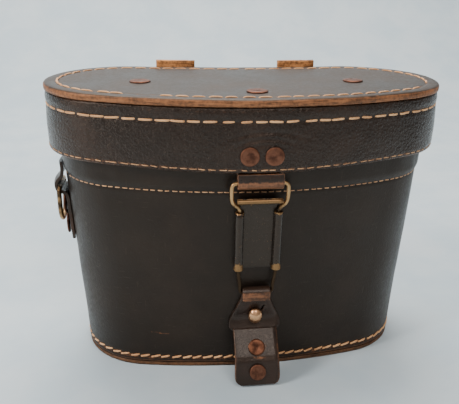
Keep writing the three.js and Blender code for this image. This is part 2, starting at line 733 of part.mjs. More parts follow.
function strapPieces() {
  const inside = wireRadius + clearance;
  const fold = inside + strapThickness;
  const lean = new THREE.Matrix4().makeRotationX(haspLean);
  const strapPlane = move(0, lowerBarY, strapBarHeight).multiply(lean);

  const bell = toSolid(bellSolid(), strapPlane.clone().multiply(move(0, inside, 0)));
  const loop = acrossX(
    new THREE.Path().absarc(0, 0, fold, 0, 2 * Math.PI, false).getPoints(10).slice(0, -1).map((p) => [p.x, p.y]),
    strapNeck,
  ).transform(strapPlane.elements);
  const bore = acrossX(
    new THREE.Path().absarc(0, 0, inside, 0, 2 * Math.PI, false).getPoints(8).slice(0, -1).map((p) => [p.x, p.y]),
    strapWidth + 4,
  ).transform(strapPlane.elements);
  const tailOuter = tabFaceThickness + clearance;
  const tail = bentLayer(tailOuter, tailOuter + strapThickness, tailWidth, 1.5 * strapThickness);

  // The button hole reaches well below the stud, so the strap lifts off as the lid starts to open.
  const holeHalf = studHead + 0.5;
  const holeTop = strapBarHeight - studHeight - holeHalf;
  const holeBottom = holeTop + 2 * holeHalf + studLength - 1.5;
  const slot = new THREE.Shape();
  slot.absarc(0, -holeTop - holeHalf, holeHalf, 0, Math.PI, false);
  slot.absarc(0, -holeBottom + holeHalf, holeHalf, Math.PI, 2 * Math.PI, false);
  slot.closePath();
  const slotCut = new THREE.ExtrudeGeometry(slot, { depth: 5 * strapThickness, bevelEnabled: false, curveSegments: 8 });
  slotCut.rotateX(Math.PI / 2);
  slotCut.translate(0, 3 * strapThickness, 0);
  const slotSolid = toSolid(slotCut, strapPlane);

  const rivets = [
    pullRivet(pullTop, pullCrease, 0.62, pullUpperSlope),
    pullRivet(pullCrease, pullEnd, 0.5, pullLowerSlope),
  ];
  const wallSide = bodySlab(-clearance, 0, lidEdge);
  const strap = bell.add(loop).add(tail).subtract(bore).subtract(slotSolid).subtract(wallSide);
  const face = bentLayer(0, tabFaceThickness, tabFaceWidth);
  return [
    piece('closure_strap', drilled(strap, rivets), blackLeather),
    piece('pull_tab', drilled(face, rivets), tanLeather),
    rivetPiece('pull_rivet_upper', rivets[0]),
    rivetPiece('pull_rivet_lower', rivets[1]),
  ];
}

// ---------------------------------------------------------------- side rings

function ringPiece(side, sign) {
  const barX = sign * (bodySide(ringBarZ) + ringBarOut);
  const path = new THREE.Shape();
  const shoulder = ringHalf - ringHeight;
  path.moveTo(-ringHalf + ringCorner, 0);
  path.quadraticCurveTo(-ringHalf, 0, -ringHalf, -ringCorner);
  path.lineTo(-ringHalf, shoulder);
  path.absarc(0, shoulder, ringHalf, Math.PI, 2 * Math.PI, false);
  path.lineTo(ringHalf, -ringCorner);
  path.quadraticCurveTo(ringHalf, 0, ringHalf - ringCorner, 0);
  path.closePath();
  const along = path.getSpacedPoints(44).slice(0, -1).map((p) => new THREE.Vector3(barX, p.x, ringBarZ + p.y));
  const curve = new THREE.CatmullRomCurve3(along, true);
  return piece(`d_ring_${side}`, new THREE.TubeGeometry(curve, 44, ringWire, 8, true), brass);
}

// ---------------------------------------------------------------- the whole case

const opera = new THREE.Group();
opera.add(
  ...bodyPieces(),
  ...studPieces(),
  ...chapePieces(),
  ...lowerHingePieces(),
  ...lidPieces(),
  tabPiece(),
  ...upperHingePieces(),
  ...haspPieces(),
  ...strapPieces(),
  ...ringSides.map(([side, sign]) => ringPiece(side, sign)),
);
export default opera;
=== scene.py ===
"""The looks of a hard leather case for opera glasses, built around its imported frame."""

from __future__ import annotations

import json
import logging
import math
from dataclasses import dataclass, field, replace
from enum import Enum
from typing import Sequence

import bpy
import numpy as np
from mathutils import Matrix, Vector, noise


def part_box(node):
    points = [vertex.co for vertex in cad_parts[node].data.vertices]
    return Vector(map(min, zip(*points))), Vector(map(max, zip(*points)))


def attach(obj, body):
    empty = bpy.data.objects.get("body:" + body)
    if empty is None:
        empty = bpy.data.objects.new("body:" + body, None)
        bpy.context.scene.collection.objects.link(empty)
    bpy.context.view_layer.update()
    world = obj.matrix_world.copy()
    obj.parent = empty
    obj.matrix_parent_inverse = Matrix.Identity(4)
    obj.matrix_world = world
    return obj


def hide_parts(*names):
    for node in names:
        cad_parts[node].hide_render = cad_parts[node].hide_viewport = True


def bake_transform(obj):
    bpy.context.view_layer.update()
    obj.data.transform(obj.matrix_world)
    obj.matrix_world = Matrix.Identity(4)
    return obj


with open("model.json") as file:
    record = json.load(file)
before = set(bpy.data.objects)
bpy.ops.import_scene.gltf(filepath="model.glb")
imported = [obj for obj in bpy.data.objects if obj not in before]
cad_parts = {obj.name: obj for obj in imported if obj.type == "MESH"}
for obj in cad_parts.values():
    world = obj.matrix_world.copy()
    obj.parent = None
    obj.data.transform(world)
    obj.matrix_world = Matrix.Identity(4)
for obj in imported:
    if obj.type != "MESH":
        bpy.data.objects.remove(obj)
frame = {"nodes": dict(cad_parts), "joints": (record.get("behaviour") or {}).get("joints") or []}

log = logging.getLogger("case")
MM = 0.001
# A painted warm tint on every gloss: it colours the reflections as if they came from a warm room light.
PAINTED_WARM_GLOSS_TINT = (1.0, 0.80, 0.66, 1)
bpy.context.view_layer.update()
JOINTS = {joint["name"]: Vector(joint.get("pos_m", (0, 0, 0))) for joint in frame["joints"]}
SIDES = {"left": -1, "right": 1}
RING_SIDES = {side: sign for side, sign in SIDES.items() if f"d_ring_{side}" in frame["nodes"]}


class Body(Enum):
    """The moving bodies of the case."""

    CASE = "case"
    LID = "lid"
    HASP = "hasp"
    STRAP = "strap"
    RING = "d_ring_left"


# ------------------------------------------------------------------ numbers and curves


def smooth(value: np.ndarray, low: float, high: float) -> np.ndarray:
    """Eases from 0 at low to 1 at high.

    Args:
        value: The numbers to ease.
        low: Where the ease starts.
        high: Where it ends; it may be below low.

    Returns:
        Numbers from 0 to 1.
    """
    t = np.clip((np.asarray(value, float) - low) / (high - low), 0, 1)
    return t * t * (3 - 2 * t)


def hump(value: np.ndarray, middle: float, reach: float) -> np.ndarray:
    """Is 1 at the middle and falls smoothly to 0 a reach away on either side."""
    t = np.clip(1 - np.abs(np.asarray(value, float) - middle) / reach, 0, 1)
    return t * t * (3 - 2 * t)


def ripple(points: np.ndarray, size: float, seed: float = 0.0) -> np.ndarray:
    """Smooth noise in space.

    Args:
        points: An array whose last axis is x, y, z in metres.
        size: The noise's wavelength in metres.
        seed: Shifts the noise, so that two uses differ.

    Returns:
        Noise from about -1 to 1, one number a point.
    """
    flat = points.reshape(-1, 3) / size + seed
    values = [noise.noise(Vector(p)) for p in flat]
    return np.array(values).reshape(points.shape[:-1])


def unit(vectors: np.ndarray) -> np.ndarray:
    """Vectors of length one along the last axis."""
    return vectors / np.maximum(np.linalg.norm(vectors, axis=-1, keepdims=True), 1e-12)


def flowing(points: Sequence[Sequence[float]], step: float) -> np.ndarray:
    """A smooth curve through points, in even steps.

    Args:
        points: The points that the curve passes through.
        step: About how far apart the curve's own points are.

    Returns:
        An array of points, the first and last as given.
    """
    p = np.array(points, float)
    padded = np.vstack([2 * p[0] - p[1], p, 2 * p[-1] - p[-2]])
    rows = []
    for a, b, c, d in zip(padded, padded[1:], padded[2:], padded[3:]):
        t = np.linspace(0, 1, 24, endpoint=False)[:, None]
        linear = (c - a) * t
        square = (2 * a - 5 * b + 4 * c - d) * t**2
        cube = (3 * b - a - 3 * c + d) * t**3
        rows.append(0.5 * (2 * b + linear + square + cube))
    dense = np.vstack([*rows, p[-1:]])
    return even(dense, max(2, round(run_length(dense)[-1] / step)))


def run_length(points: np.ndarray) -> np.ndarray:
    """The distance along a line of points, one number a point."""
    return np.concatenate([[0], np.cumsum(np.linalg.norm(np.diff(points, axis=0), axis=1))])


def even(points: np.ndarray, count: int) -> np.ndarray:
    """The same line in equal steps.

    Args:
        points: The line.
        count: How many steps to take.

    Returns:
        One more point than there are steps.
    """
    along = run_length(points)
    at = np.linspace(0, along[-1], count + 1)
    return np.stack([np.interp(at, along, points[:, k]) for k in range(points.shape[1])], axis=1)


def rounded_loop(corners: Sequence[Sequence[float]], bend: float) -> np.ndarray:
    """A closed line through corners, each one rounded.

    Args:
        corners: The corners in order.
        bend: How far from each corner its rounding starts.

    Returns:
        Points round the loop, without a repeat of the first.
    """
    p = np.array(corners, float)
    rows = []
    for before, here, after in zip(np.roll(p, 1, axis=0), p, np.roll(p, -1, axis=0)):
        back, on = before - here, after - here
        start = here + back * min(0.5, bend / np.linalg.norm(back))
        end = here + on * min(0.5, bend / np.linalg.norm(on))
        t = np.linspace(0, 1, 9)[:, None]
        rows.append((1 - t) ** 2 * start + 2 * t * (1 - t) * here + t**2 * end)
    loop = np.vstack([*rows, rows[0][:1]])
    count = round(run_length(loop)[-1] / (0.7 * MM))
    return even(loop, count)[:-1]


# ------------------------------------------------------------------ meshes


@dataclass
class Shape:
    """Vertices and faces with numbers painted on the vertices."""

    points: np.ndarray
    faces: list[tuple[int, ...]]
    paint: dict[str, np.ndarray] = field(default_factory=dict)

    def moved(self, matrix: Matrix) -> Shape:
        """The same shape, turned and moved."""
        m = np.array(matrix)
        return replace(self, points=self.points @ m[:3, :3].T + m[:3, 3])

    def painted(self, name: str, values: np.ndarray | float) -> Shape:
        """The same shape with one more number on its vertices."""
        full = np.broadcast_to(np.asarray(values, float), (len(self.points),)).copy()
        return replace(self, paint={**self.paint, name: full})

    def closed_up(self) -> Shape:
        """Turns the faces outward, if they all face inward.

        Returns:
            The shape with outward faces.
        """
        volume = 0.0
        for f in self.faces:
            a = self.points[f[0]]
            for i in range(1, len(f) - 1):
                volume += float(np.dot(a, np.cross(self.points[f[i]], self.points[f[i + 1]])))
        if volume >= 0:
            return self
        return replace(self, faces=[tuple(reversed(f)) for f in self.faces])


def joined(shapes: Sequence[Shape]) -> Shape:
    """Several shapes as one, with the paint that any of them has.

    Args:
        shapes: The shapes to join.

    Returns:
        One shape; where a shape lacks a paint, it is 0.
    """
    names = sorted({name for s in shapes for name in s.paint})
    faces: list[tuple[int, ...]] = []
    start = 0
    for s in shapes:
        faces += [tuple(i + start for i in f) for f in s.faces]
        start += len(s.points)
    paint = {n: np.concatenate([s.paint.get(n, np.zeros(len(s.points))) for s in shapes]) for n in names}
    return Shape(np.vstack([s.points for s in shapes]), faces, paint)


def woven(rows: np.ndarray, loop_rows: bool, loop_points: bool) -> Shape:
    """A net of four-sided faces over rows of points.

    Args:
        rows: An array of rows by points by 3.
        loop_rows: Joins the last row to the first.
        loop_points: Joins the last point of each row to its first.

    Returns:
        The net.
    """
    m, n = rows.shape[:2]
    i, j = np.meshgrid(
        np.arange(m if loop_rows else m - 1), np.arange(n if loop_points else n - 1), indexing="ij"
    )
    i, j = i.ravel(), j.ravel()
    up, on = (i + 1) % m, (j + 1) % n
    quads = np.stack([i * n + j, i * n + on, up * n + on, up * n + j], axis=1)
    return Shape(rows.reshape(-1, 3), [tuple(q) for q in quads.tolist()])


def lathe(profile: Sequence[Sequence[float]], sides: int) -> Shape:
    """A turned shape round +Z, closed on its axis at both ends.

    Args:
        profile: Radius and height pairs; the first and last radius are 0.
        sides: Steps round.

    Returns:
        The closed shape.
    """
    p = np.array(profile, float)
    turn = np.linspace(0, 2 * math.pi, sides, endpoint=False)
    inner = p[1:-1]
    rows = np.stack(
        [
            inner[:, :1] * np.cos(turn),
            inner[:, :1] * np.sin(turn),
            np.repeat(inner[:, 1:], sides, axis=1),
        ],
        axis=2,
    )
    net = woven(rows, False, True)
    foot, tip = len(net.points), len(net.points) + 1
    last = (len(inner) - 1) * sides
    faces = list(net.faces)
    for k in range(sides):
        on = (k + 1) % sides
        faces.append((foot, on, k))
        faces.append((tip, last + k, last + on))
    ends = np.array([[0, 0, p[0, 1]], [0, 0, p[-1, 1]]])
    return Shape(np.vstack([net.points, ends]), faces).closed_up()


def wire(path: np.ndarray, across: Sequence[float], radius: float, sides: int = 12) -> Shape:
    """A round wire along a closed flat loop.

    Args:
        path: Points round the loop.
        across: The direction square to the loop's plane.
        radius: The wire's radius.
        sides: Steps round the wire.

    Returns:
        The closed wire.
    """
    tangent = unit(np.roll(path, -1, axis=0) - np.roll(path, 1, axis=0))
    square = np.broadcast_to(unit(np.array(across, float)), path.shape)
    out = unit(np.cross(tangent, square))
    turn = np.linspace(0, 2 * math.pi, sides, endpoint=False)[None, :, None]
    rows = path[:, None] + radius * (np.cos(turn) * out[:, None] + np.sin(turn) * square[:, None])
    return woven(rows, True, True).closed_up()


def strip(
    path: np.ndarray,
    side: Sequence[float],
    widths: np.ndarray | float,
    thickness: float,
    round_over: float = 0.35 * MM,
) -> Shape:
    """A strip of leather or sheet metal that follows a path, with its edges rounded over.

    Args:
        path: Points along the middle of the strip.
        side: The direction across the strip.
        widths: The strip's width, one for all or one a point.
        thickness: Its thickness.
        round_over: The radius of its long edges.

    Returns:
        A closed strip, painted with `edge`, 1 on its cut edges, and `face`, 1 on the side that its
        path turns away from.
    """
    width = np.broadcast_to(np.asarray(widths, float), (len(path),))
    tangent = unit(np.gradient(path, axis=0))
    across = unit(np.array(side, float) - (tangent @ np.array(side, float))[:, None] * tangent)
    up = np.cross(across, tangent)
    half = thickness / 2
    corner = np.linspace(0, math.pi / 2, 4)
    span = np.linspace(-1, 1, 13)
    template = [(s, 0.0, 1.0, 0.0) for s in span]
    template += [(1, math.sin(a), 1.0, math.cos(a) - 1) for a in corner[1:]]
    template += [(1, 1.0, -1.0, math.cos(a) - 1) for a in corner[::-1]]
    template += [(s, 0.0, -1.0, 0.0) for s in span[::-1][1:]]
    template += [(-1, -math.sin(a), -1.0, math.cos(a) - 1) for a in corner[1:]]
    template += [(-1, -1.0, 1.0, math.cos(a) - 1) for a in corner[::-1][:-1]]
    spread = np.array(template)
    inner = np.maximum(width / 2 - round_over, 0.1 * MM)[:, None]
    offset = inner * spread[None, :, 0] + round_over * np.sign(spread[:, 1]) * np.abs(spread[:, 1])
    height = spread[None, :, 2] * (half + round_over * spread[None, :, 3] * (round_over < half))
    height = np.clip(height, -half, half)
    rows = path[:, None] + offset[..., None] * across[:, None] + height[..., None] * up[:, None]
    ends = []
    for sign, k in ((-1, 0), (1, -1)):
        tip = rows[k] + sign * tangent[k] * round_over * 0.6
        middle = path[k] + sign * tangent[k] * round_over * 0.6
        shrink = 1 - round_over / max(half, round_over * 1.5) * 0.6
        lift = (tip - middle) @ up[k]
        ends.append(tip - lift[:, None] * up[k] * (1 - shrink))
    rows = np.concatenate([ends[0][None], rows, ends[1][None]])
    net = woven(rows, False, True)
    n = rows.shape[1]
    faces = net.faces + [tuple(range(n))[::-1], tuple(range((len(rows) - 1) * n, len(rows) * n))]
    cut = np.broadcast_to((np.abs(spread[:, 1]) > 0.3).astype(float), (len(rows), n)).copy()
    cut[[0, -1]] = 1
    face = np.broadcast_to((spread[:, 2] > 0).astype(float), (len(rows), n))
    shape = Shape(net.points, faces).closed_up()
    return shape.painted("edge", cut.ravel()).painted("face", face.ravel())


# ------------------------------------------------------------------ the kidney outline


class Span(Enum):
    """How many steps each stretch of the outline takes."""

    FRONT = 150
    END = 84
    BACK = 104


@dataclass(frozen=True)
class Outline:
    """A kidney: two round ends joined by a convex front and a slightly hollow back."""

    half: float
    radius: float
    bulge: float
    waist: float

    @staticmethod
    def of(node: str, waist: float) -> Outline:
        """The outline of a CAD node's box.

        Args:
            node: The CAD node whose outside this is.
            waist: How far the back is drawn in.

        Returns:
            The outline that fills the box.
        """
        low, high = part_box(node)
        return Outline(high.x - high.y, high.y, -low.y - high.y, waist)

    def ring(self) -> tuple[np.ndarray, np.ndarray]:
        """Walks round the outline, counterclockwise from the left of the front.

        Returns:
            The points, and the outward normal at each.
        """
        front = (self.half**2 - self.bulge**2) / (2 * self.bulge)
        back = (self.half**2 - self.waist**2) / (2 * self.waist)
        a = math.atan2(-front, self.half)
        b = math.atan2(back, -self.half)
        arcs = [
            ((0, front), front + self.radius + self.bulge, math.pi - a, a + 2 * math.pi, Span.FRONT, 1),
            ((self.half, 0), self.radius, a, b, Span.END, 1),
            ((0, back), back - self.radius + self.waist, b - math.pi, -b, Span.BACK, -1),
            ((-self.half, 0), self.radius, math.pi - b, math.pi - a, Span.END, 1),
        ]
        points, normals = [], []
        for centre, radius, start, end, span, sign in arcs:
            turn = np.linspace(start, end, span.value, endpoint=False)
            spoke = np.stack([np.cos(turn), np.sin(turn)], axis=1)
            points.append(np.array(centre) + radius * spoke)
            normals.append(sign * spoke)
        return np.vstack(points), np.vstack(normals)


@dataclass(frozen=True)
class Wall:
    """A surface that runs straight from one outline to another."""

    foot: Outline
    brim: Outline
    foot_z: float
    brim_z: float

    def at(self, out: np.ndarray, z: np.ndarray) -> np.ndarray:
        """Rings of points.

        Args:
            out: How far each ring stands out of the wall.
            z: The height of each ring.

        Returns:
            An array of rings by points by 3.
        """
        out, z = np.atleast_1d(out).astype(float), np.atleast_1d(z).astype(float)
        low, low_normal = self.foot.ring()
        high, high_normal = self.brim.ring()
        t = ((z - self.foot_z) / (self.brim_z - self.foot_z))[:, None, None]
        normal = unit(low_normal + (high_normal - low_normal) * t)
        flat = low + (high - low) * t + normal * out[:, None, None]
        return np.concatenate([flat, np.broadcast_to(z[:, None, None], flat.shape[:2] + (1,))], axis=2)

    def facing(self, z: float) -> np.ndarray:
        """The outward normals round the wall.

        Args:
            z: The height.

        Returns:
            One normal for each point of a ring.
        """
        low, high = self.at(0, z)[0], self.at(0, z + MM)[0]
        round_wall = unit(np.roll(low, -1, axis=0) - np.roll(low, 1, axis=0))
        return unit(np.cross(round_wall, high - low))

    def front(self, z: float) -> float:
        """The y of the middle of the wall's front at a height."""
        return float(self.at(0, z)[0][:, 1].min())

    def side(self, z: float) -> float:
        """The x of the wall's right end at a height."""
        return float(self.at(0, z)[0][:, 0].max())


def sleeve(wall: Wall, profile: np.ndarray) -> Shape:
    """A closed profile of out and z pairs, run round a wall."""
    return woven(wall.at(profile[:, 0], profile[:, 1]), True, True).closed_up()


def plate(wall: Wall, profile: np.ndarray, rungs: int = 28) -> Shape:
    """A profile of out and z pairs run round a wall, with its first and last rings filled in.

    Args:
        wall: The wall that the rings follow.
        profile: The pairs, from the middle of one face out round the edge to the other's.
        rungs: How many steps fill the plate from front to back.

    Returns:
        The closed plate.
    """
    rings = wall.at(profile[:, 0], profile[:, 1])
    net = woven(rings, False, True)
    n = rings.shape[1]
    turn = Span.END.value // 2
    shapes = [net.points]
    faces = list(net.faces)
    start = len(net.points)
    left = n - turn
    order = [(left + k) % n for k in range(n)]
    for ring, flip in ((0, False), (len(rings) - 1, True)):
        near = [ring * n + order[k] for k in range(1, n // 2)]
        far = [ring * n + order[n - k] for k in range(1, n // 2)]
        ends = (ring * n + order[0], ring * n + order[n // 2])
        a, b = net.points[near], net.points[far]
        t = np.linspace(0, 1, rungs + 1)[1:-1]
        middle = a[:, None] + (b - a)[:, None] * t[None, :, None]
        shapes.append(middle.reshape(-1, 3))
        ladder = []
        for k, (lo, hi) in enumerate(zip(near, far)):
            ladder.append([lo, *range(start + k * (rungs - 1), start + (k + 1) * (rungs - 1)), hi])
        start += len(near) * (rungs - 1)
        fill: list[tuple[int, ...]] = []
        for one, two in zip(ladder, ladder[1:]):
            fill += [(one[r], one[r + 1], two[r + 1], two[r]) for r in range(rungs)]
        fill += [(ends[0], ladder[0][r + 1], ladder[0][r]) for r in range(rungs)]
        fill += [(ends[1], ladder[-1][r], ladder[-1][r + 1]) for r in range(rungs)]
        faces += [tuple(reversed(f)) for f in fill] if flip else fill
    return Shape(np.vstack(shapes), faces).closed_up()


def traced(*stretches: Sequence[float], step: float = 0.9 * MM) -> np.ndarray:
    """A profile through corners, with points every step on its long stretches.

    Args:
        *stretches: The corners, each an out and z pair in millimetres.
        step: The longest gap between two points.

    Returns:
        The profile's pairs in metres.
    """
    corners = np.array(stretches, float) * MM
    rows = []
    for a, b in zip(corners, corners[1:]):
        count = max(1, math.ceil(np.linalg.norm(b - a) / step))
        rows.append(a + (b - a) * np.linspace(0, 1, count, endpoint=False)[:, None])
    return np.vstack([*rows, corners[-1:]])


# ------------------------------------------------------------------ finishes


class Shader:
    """Builds one node material, a node at a time."""

    def __init__(self, name: str) -> None:
        """Starts an empty material with a Principled shader.

        Args:
            name: The material's name.
        """
        self.material = bpy.data.materials.new(name)
        self.material.use_nodes = True
        self.tree = self.material.node_tree
        self.main = self.tree.nodes["Principled BSDF"]
        self.place = self.node("ShaderNodeTexCoord").outputs["Object"]

    def node(self, kind: str, settings: dict | None = None, **sockets: object) -> bpy.types.Node:
        """Adds a node.

        Args:
            kind: The node's type.
            settings: Its own properties.
            **sockets: Its inputs, by name with _ for a space, each a value or another node's output.

        Returns:
            The node.
        """
        made = self.tree.nodes.new(kind)
        for key, value in (settings or {}).items():
            setattr(made, key, value)
        for key, value in sockets.items():
            self.feed(made.inputs[key.replace("_", " ")], value)
        return made

    def feed(self, socket: bpy.types.NodeSocket, value: object) -> None:
        """Links an output to a socket, or sets the socket's value."""
        if isinstance(value, bpy.types.NodeSocket):
            self.tree.links.new(value, socket)
        else:
            socket.default_value = value

    def noise(
        self, size: float, detail: float = 4, rough: float = 0.55, stretch: tuple = (1, 1, 1)
    ) -> object:
        """Adds noise.

        Args:
            size: Its wavelength in metres.
            detail: How many finer octaves it has.
            rough: How strong they are.
            stretch: The scale along each axis.

        Returns:
            A number from 0 to 1.
        """
        place = self.place
        if stretch != (1, 1, 1):
            place = self.node("ShaderNodeMapping", Vector=place, Scale=stretch).outputs[0]
        made = self.node("ShaderNodeTexNoise", Vector=place, Scale=1 / size, Detail=detail, Roughness=rough)
        return made.outputs[0]

    def cells(self, size: float, feature: str = "F1") -> object:
        """Adds pebbles.

        Args:
            size: Their size in metres.
            feature: Which distance to give.

        Returns:
            The distance from the nearest pebble's middle.
        """
        settings = {"feature": feature}
        made = self.node("ShaderNodeTexVoronoi", settings, Vector=self.place, Scale=1 / size)
        return made.outputs["Distance"]

    def paint(self, name: str) -> object:
        """A number painted on the vertices."""
        return self.node("ShaderNodeAttribute", {"attribute_name": name}).outputs["Fac"]

    def ease(self, value: object, low: float, high: float, to_low: float = 0, to_high: float = 1) -> object:
        """Maps one range on to another, smoothly and clamped.

        Args:
            value: The number to map.
            low: Where its range starts.
            high: Where its range ends.
            to_low: What low becomes.
            to_high: What high becomes.

        Returns:
            The mapped number.
        """
        settings = {"interpolation_type": "SMOOTHSTEP"}
        made = self.node("ShaderNodeMapRange", settings, Value=value)
        for key, number in zip(("From Min", "From Max", "To Min", "To Max"), (low, high, to_low, to_high)):
            made.inputs[key].default_value = number
        return made.outputs[0]

    def sum(self, kind: str, a: object, b: object) -> object:
        """Does arithmetic.

        Args:
            kind: ADD, MULTIPLY, SUBTRACT, MAXIMUM and so on.
            a: The first number.
            b: The second.

        Returns:
            The result.
        """
        made = self.node("ShaderNodeMath", {"operation": kind})
        self.feed(made.inputs[0], a)
        self.feed(made.inputs[1], b)
        return made.outputs[0]

    def blend(self, share: object, a: object, b: object) -> object:
        """Lays one colour over another.

        Args:
            share: How much of the second shows, from 0 to 1.
            a: The first colour.
            b: The second.

        Returns:
            The mixed colour.
        """
        made = self.node("ShaderNodeMix", {"data_type": "RGBA"})
        colours = [s for s in made.inputs if s.type == "RGBA"]
        self.feed(made.inputs[0], share)
        for socket, value in zip(colours, (a, b)):
            self.feed(socket, (*value, 1) if isinstance(value, tuple) else value)
        return next(s for s in made.outputs if s.type == "RGBA")

    def relief(self, height: object, depth: float, before: object | None = None) -> object:
        """Adds bumps.

        Args:
            height: Their height, from 0 to 1.
            depth: How deep 1 is, in metres.
            before: Earlier bumps that these lie over.

        Returns:
            The bumped normal.
        """
        made = self.node("ShaderNodeBump", Height=height, Distance=depth, Strength=1.0)
        if before is not None:
            self.feed(made.inputs["Normal"], before)
        return made.outputs[0]

    def finish(
        self, colour: object, rough: object, normal: object | None = None, **fixed: float
    ) -> bpy.types.Material:
        """Connects the shader.

        Args:
            colour: The base colour.
            rough: The roughness.
            normal: The bumped normal.
            **fixed: Plain values for other sockets, by name with _ for a space.

        Returns:
            The material.
        """
        self.feed(self.main.inputs["Base Color"], colour)
        self.feed(self.main.inputs["Roughness"], rough)
        if normal is not None:
            self.feed(self.main.inputs["Normal"], normal)
        for key, value in fixed.items():
            self.main.inputs[key.replace("_", " ")].default_value = value
        return self.material


@dataclass(frozen=True)
class Leather:
    """Hard dyed leather: grain, a waxed gloss, scuffs, and brown where it is cut or rubbed."""

    name: str
    dye: tuple[float, float, float] = (0.0075, 0.0052, 0.0040)
    faded: tuple[float, float, float] = (0.017, 0.0115, 0.0085)
    raw: tuple[float, float, float] = (0.13, 0.052, 0.022)
    grain: float = 0.9 * MM
    grain_depth: float = 0.05 * MM
    crease_depth: float = 0.0
    gloss: float = 0.36
    dull: float = 0.55
    coat: float = 0.06
    shine: float = 0.36
    scuffs: float = 0.5

    def material(self) -> bpy.types.Material:
        """Builds the node material.

        Returns:
            The material.
        """
        s = Shader(self.name)
        edge, wear = s.paint("edge"), s.paint("wear")
        patches = s.noise(26 * MM, 5, 0.6)
        fine = s.noise(1.6 * MM, 6, 0.65)
        pebbles = s.cells(self.grain)
        scratch = s.noise(7 * MM, 3, 0.5, (1.0, 1.0, 9.0))
        slash = s.noise(9 * MM, 3, 0.5, (7.0, 1.0, 1.3))
        marks = s.sum("MAXIMUM", s.ease(scratch, 0.66, 0.72), s.ease(slash, 0.68, 0.73))
        colour = s.blend(s.ease(patches, 0.38, 0.7), self.dye, self.faded)
        colour = s.blend(s.sum("MULTIPLY", marks, self.scuffs * 0.5), colour, (0.07, 0.042, 0.028))
        rubbed = s.ease(
            s.sum("ADD", wear, s.sum("MULTIPLY", s.sum("SUBTRACT", fine, 0.5), 0.9)), 0.35, 0.75
        )
        bare = s.ease(s.sum("ADD", edge, s.sum("MULTIPLY", s.sum("SUBTRACT", patches, 0.5), 0.8)), 0.3, 0.8)
        layers = s.noise(1.3 * MM, 3, 0.6, (0.12, 0.12, 1.6))
        streaks = s.ease(s.sum("MULTIPLY", s.sum("ADD", layers, fine), 0.5), 0.36, 0.62)
        brown = s.blend(streaks, tuple(0.3 * c for c in self.raw), tuple(1.5 * c for c in self.raw))
        colour = s.blend(s.sum("MAXIMUM", rubbed, bare), colour, brown)
        rough = s.ease(
            s.sum("ADD", s.sum("MULTIPLY", fine, 0.5), s.sum("MULTIPLY", patches, 0.5)), 0.35, 0.65
        )
        rough = s.sum("ADD", s.sum("MULTIPLY", rough, self.dull - self.gloss), self.gloss)
        rough = s.sum("ADD", rough, s.sum("MULTIPLY", s.sum("MAXIMUM", rubbed, bare), 0.12))
        bumps = s.relief(pebbles, self.grain_depth)
        bumps = s.relief(fine, self.grain_depth * 1.2, bumps)
        if self.crease_depth:
            creases = s.noise(3.2 * MM, 4, 0.6, (1.0, 1.0, 1.25))
            ridged = s.sum("ABSOLUTE", s.sum("SUBTRACT", creases, 0.5), 0)
            bumps = s.relief(s.ease(ridged, 0.0, 0.1), self.crease_depth, bumps)
        bumps = s.relief(marks, -0.03 * MM, bumps)
        # Painted warm tint on the reflections, standing in for the warm room light.
        s.main.inputs["Specular Tint"].default_value = PAINTED_WARM_GLOSS_TINT
        fixed = {"Coat_Weight": self.coat, "Coat_Roughness": 0.28, "Specular_IOR_Level": self.shine}
        return s.finish(colour, rough, bumps, **fixed)


@dataclass(frozen=True)
class Metal:
    """Bare metal under tarnish, brighter where it is rubbed."""

    name: str
    bright: tuple[float, float, float]
    tarnish: tuple[float, float, float]
    smooth: float = 0.28
    dull: float = 0.55
    spots: float = 3.0 * MM

    def material(self) -> bpy.types.Material:
        """Builds the node material.

        Returns:
            The material.
        """
        s = Shader(self.name)
        wear = s.paint("wear")
        patches = s.noise(self.spots, 6, 0.65)
        fine = s.noise(0.6 * MM, 4, 0.6)
        scratch = s.noise(1.6 * MM, 3, 0.5, (8.0, 1.0, 1.0))
        clean = s.ease(s.sum("ADD", patches, s.sum("MULTIPLY", wear, 0.45)), 0.42, 0.72)
        colour = s.blend(clean, self.tarnish, self.bright)
        colour = s.blend(s.sum("MULTIPLY", s.ease(fine, 0.55, 0.75), 0.35), colour, self.tarnish)
        rough = s.ease(patches, 0.35, 0.7, self.dull, self.smooth)
        bumps = s.relief(fine, 0.03 * MM)
        bumps = s.relief(scratch, 0.02 * MM, bumps)
        return s.finish(colour, rough, bumps, Metallic=1.0)


@dataclass(frozen=True)
class ChippedPaint:
    """Black enamel on brass, chipped at its ridges and scratched."""

    name: str
    enamel: tuple[float, float, float] = (0.0070, 0.0055, 0.0048)
    brass: tuple[float, float, float] = (0.42, 0.24, 0.11)

    def material(self) -> bpy.types.Material:
        """Builds the node material.

        Returns:
            The material.
        """
        s = Shader(self.name)
        wear = s.paint("wear")
        chips = s.noise(2.4 * MM, 6, 0.7)
        fine = s.noise(0.5 * MM, 4, 0.6)
        scratch = s.noise(2.2 * MM, 2, 0.5, (6.0, 1.0, 1.6))
        lines = s.ease(scratch, 0.70, 0.73)
        bare = s.ease(s.sum("ADD", chips, s.sum("MULTIPLY", wear, 0.6)), 0.80, 0.86)
        bare = s.sum("MAXIMUM", bare, s.sum("MULTIPLY", lines, 0.35))
        brass = s.blend(fine, tuple(0.35 * c for c in self.brass), self.brass)
        colour = s.blend(bare, s.blend(chips, self.enamel, (0.022, 0.016, 0.012)), brass)
        rough = s.ease(bare, 0, 1, 0.27, 0.45)
        bumps = s.relief(s.sum("SUBTRACT", 1.0, bare), 0.06 * MM)
        bumps = s.relief(fine, 0.015 * MM, bumps)
        s.feed(s.main.inputs["Metallic"], bare)
        # Painted warm tint on the reflections, standing in for the warm room light.
        s.main.inputs["Specular Tint"].default_value = PAINTED_WARM_GLOSS_TINT
        return s.finish(colour, rough, bumps)


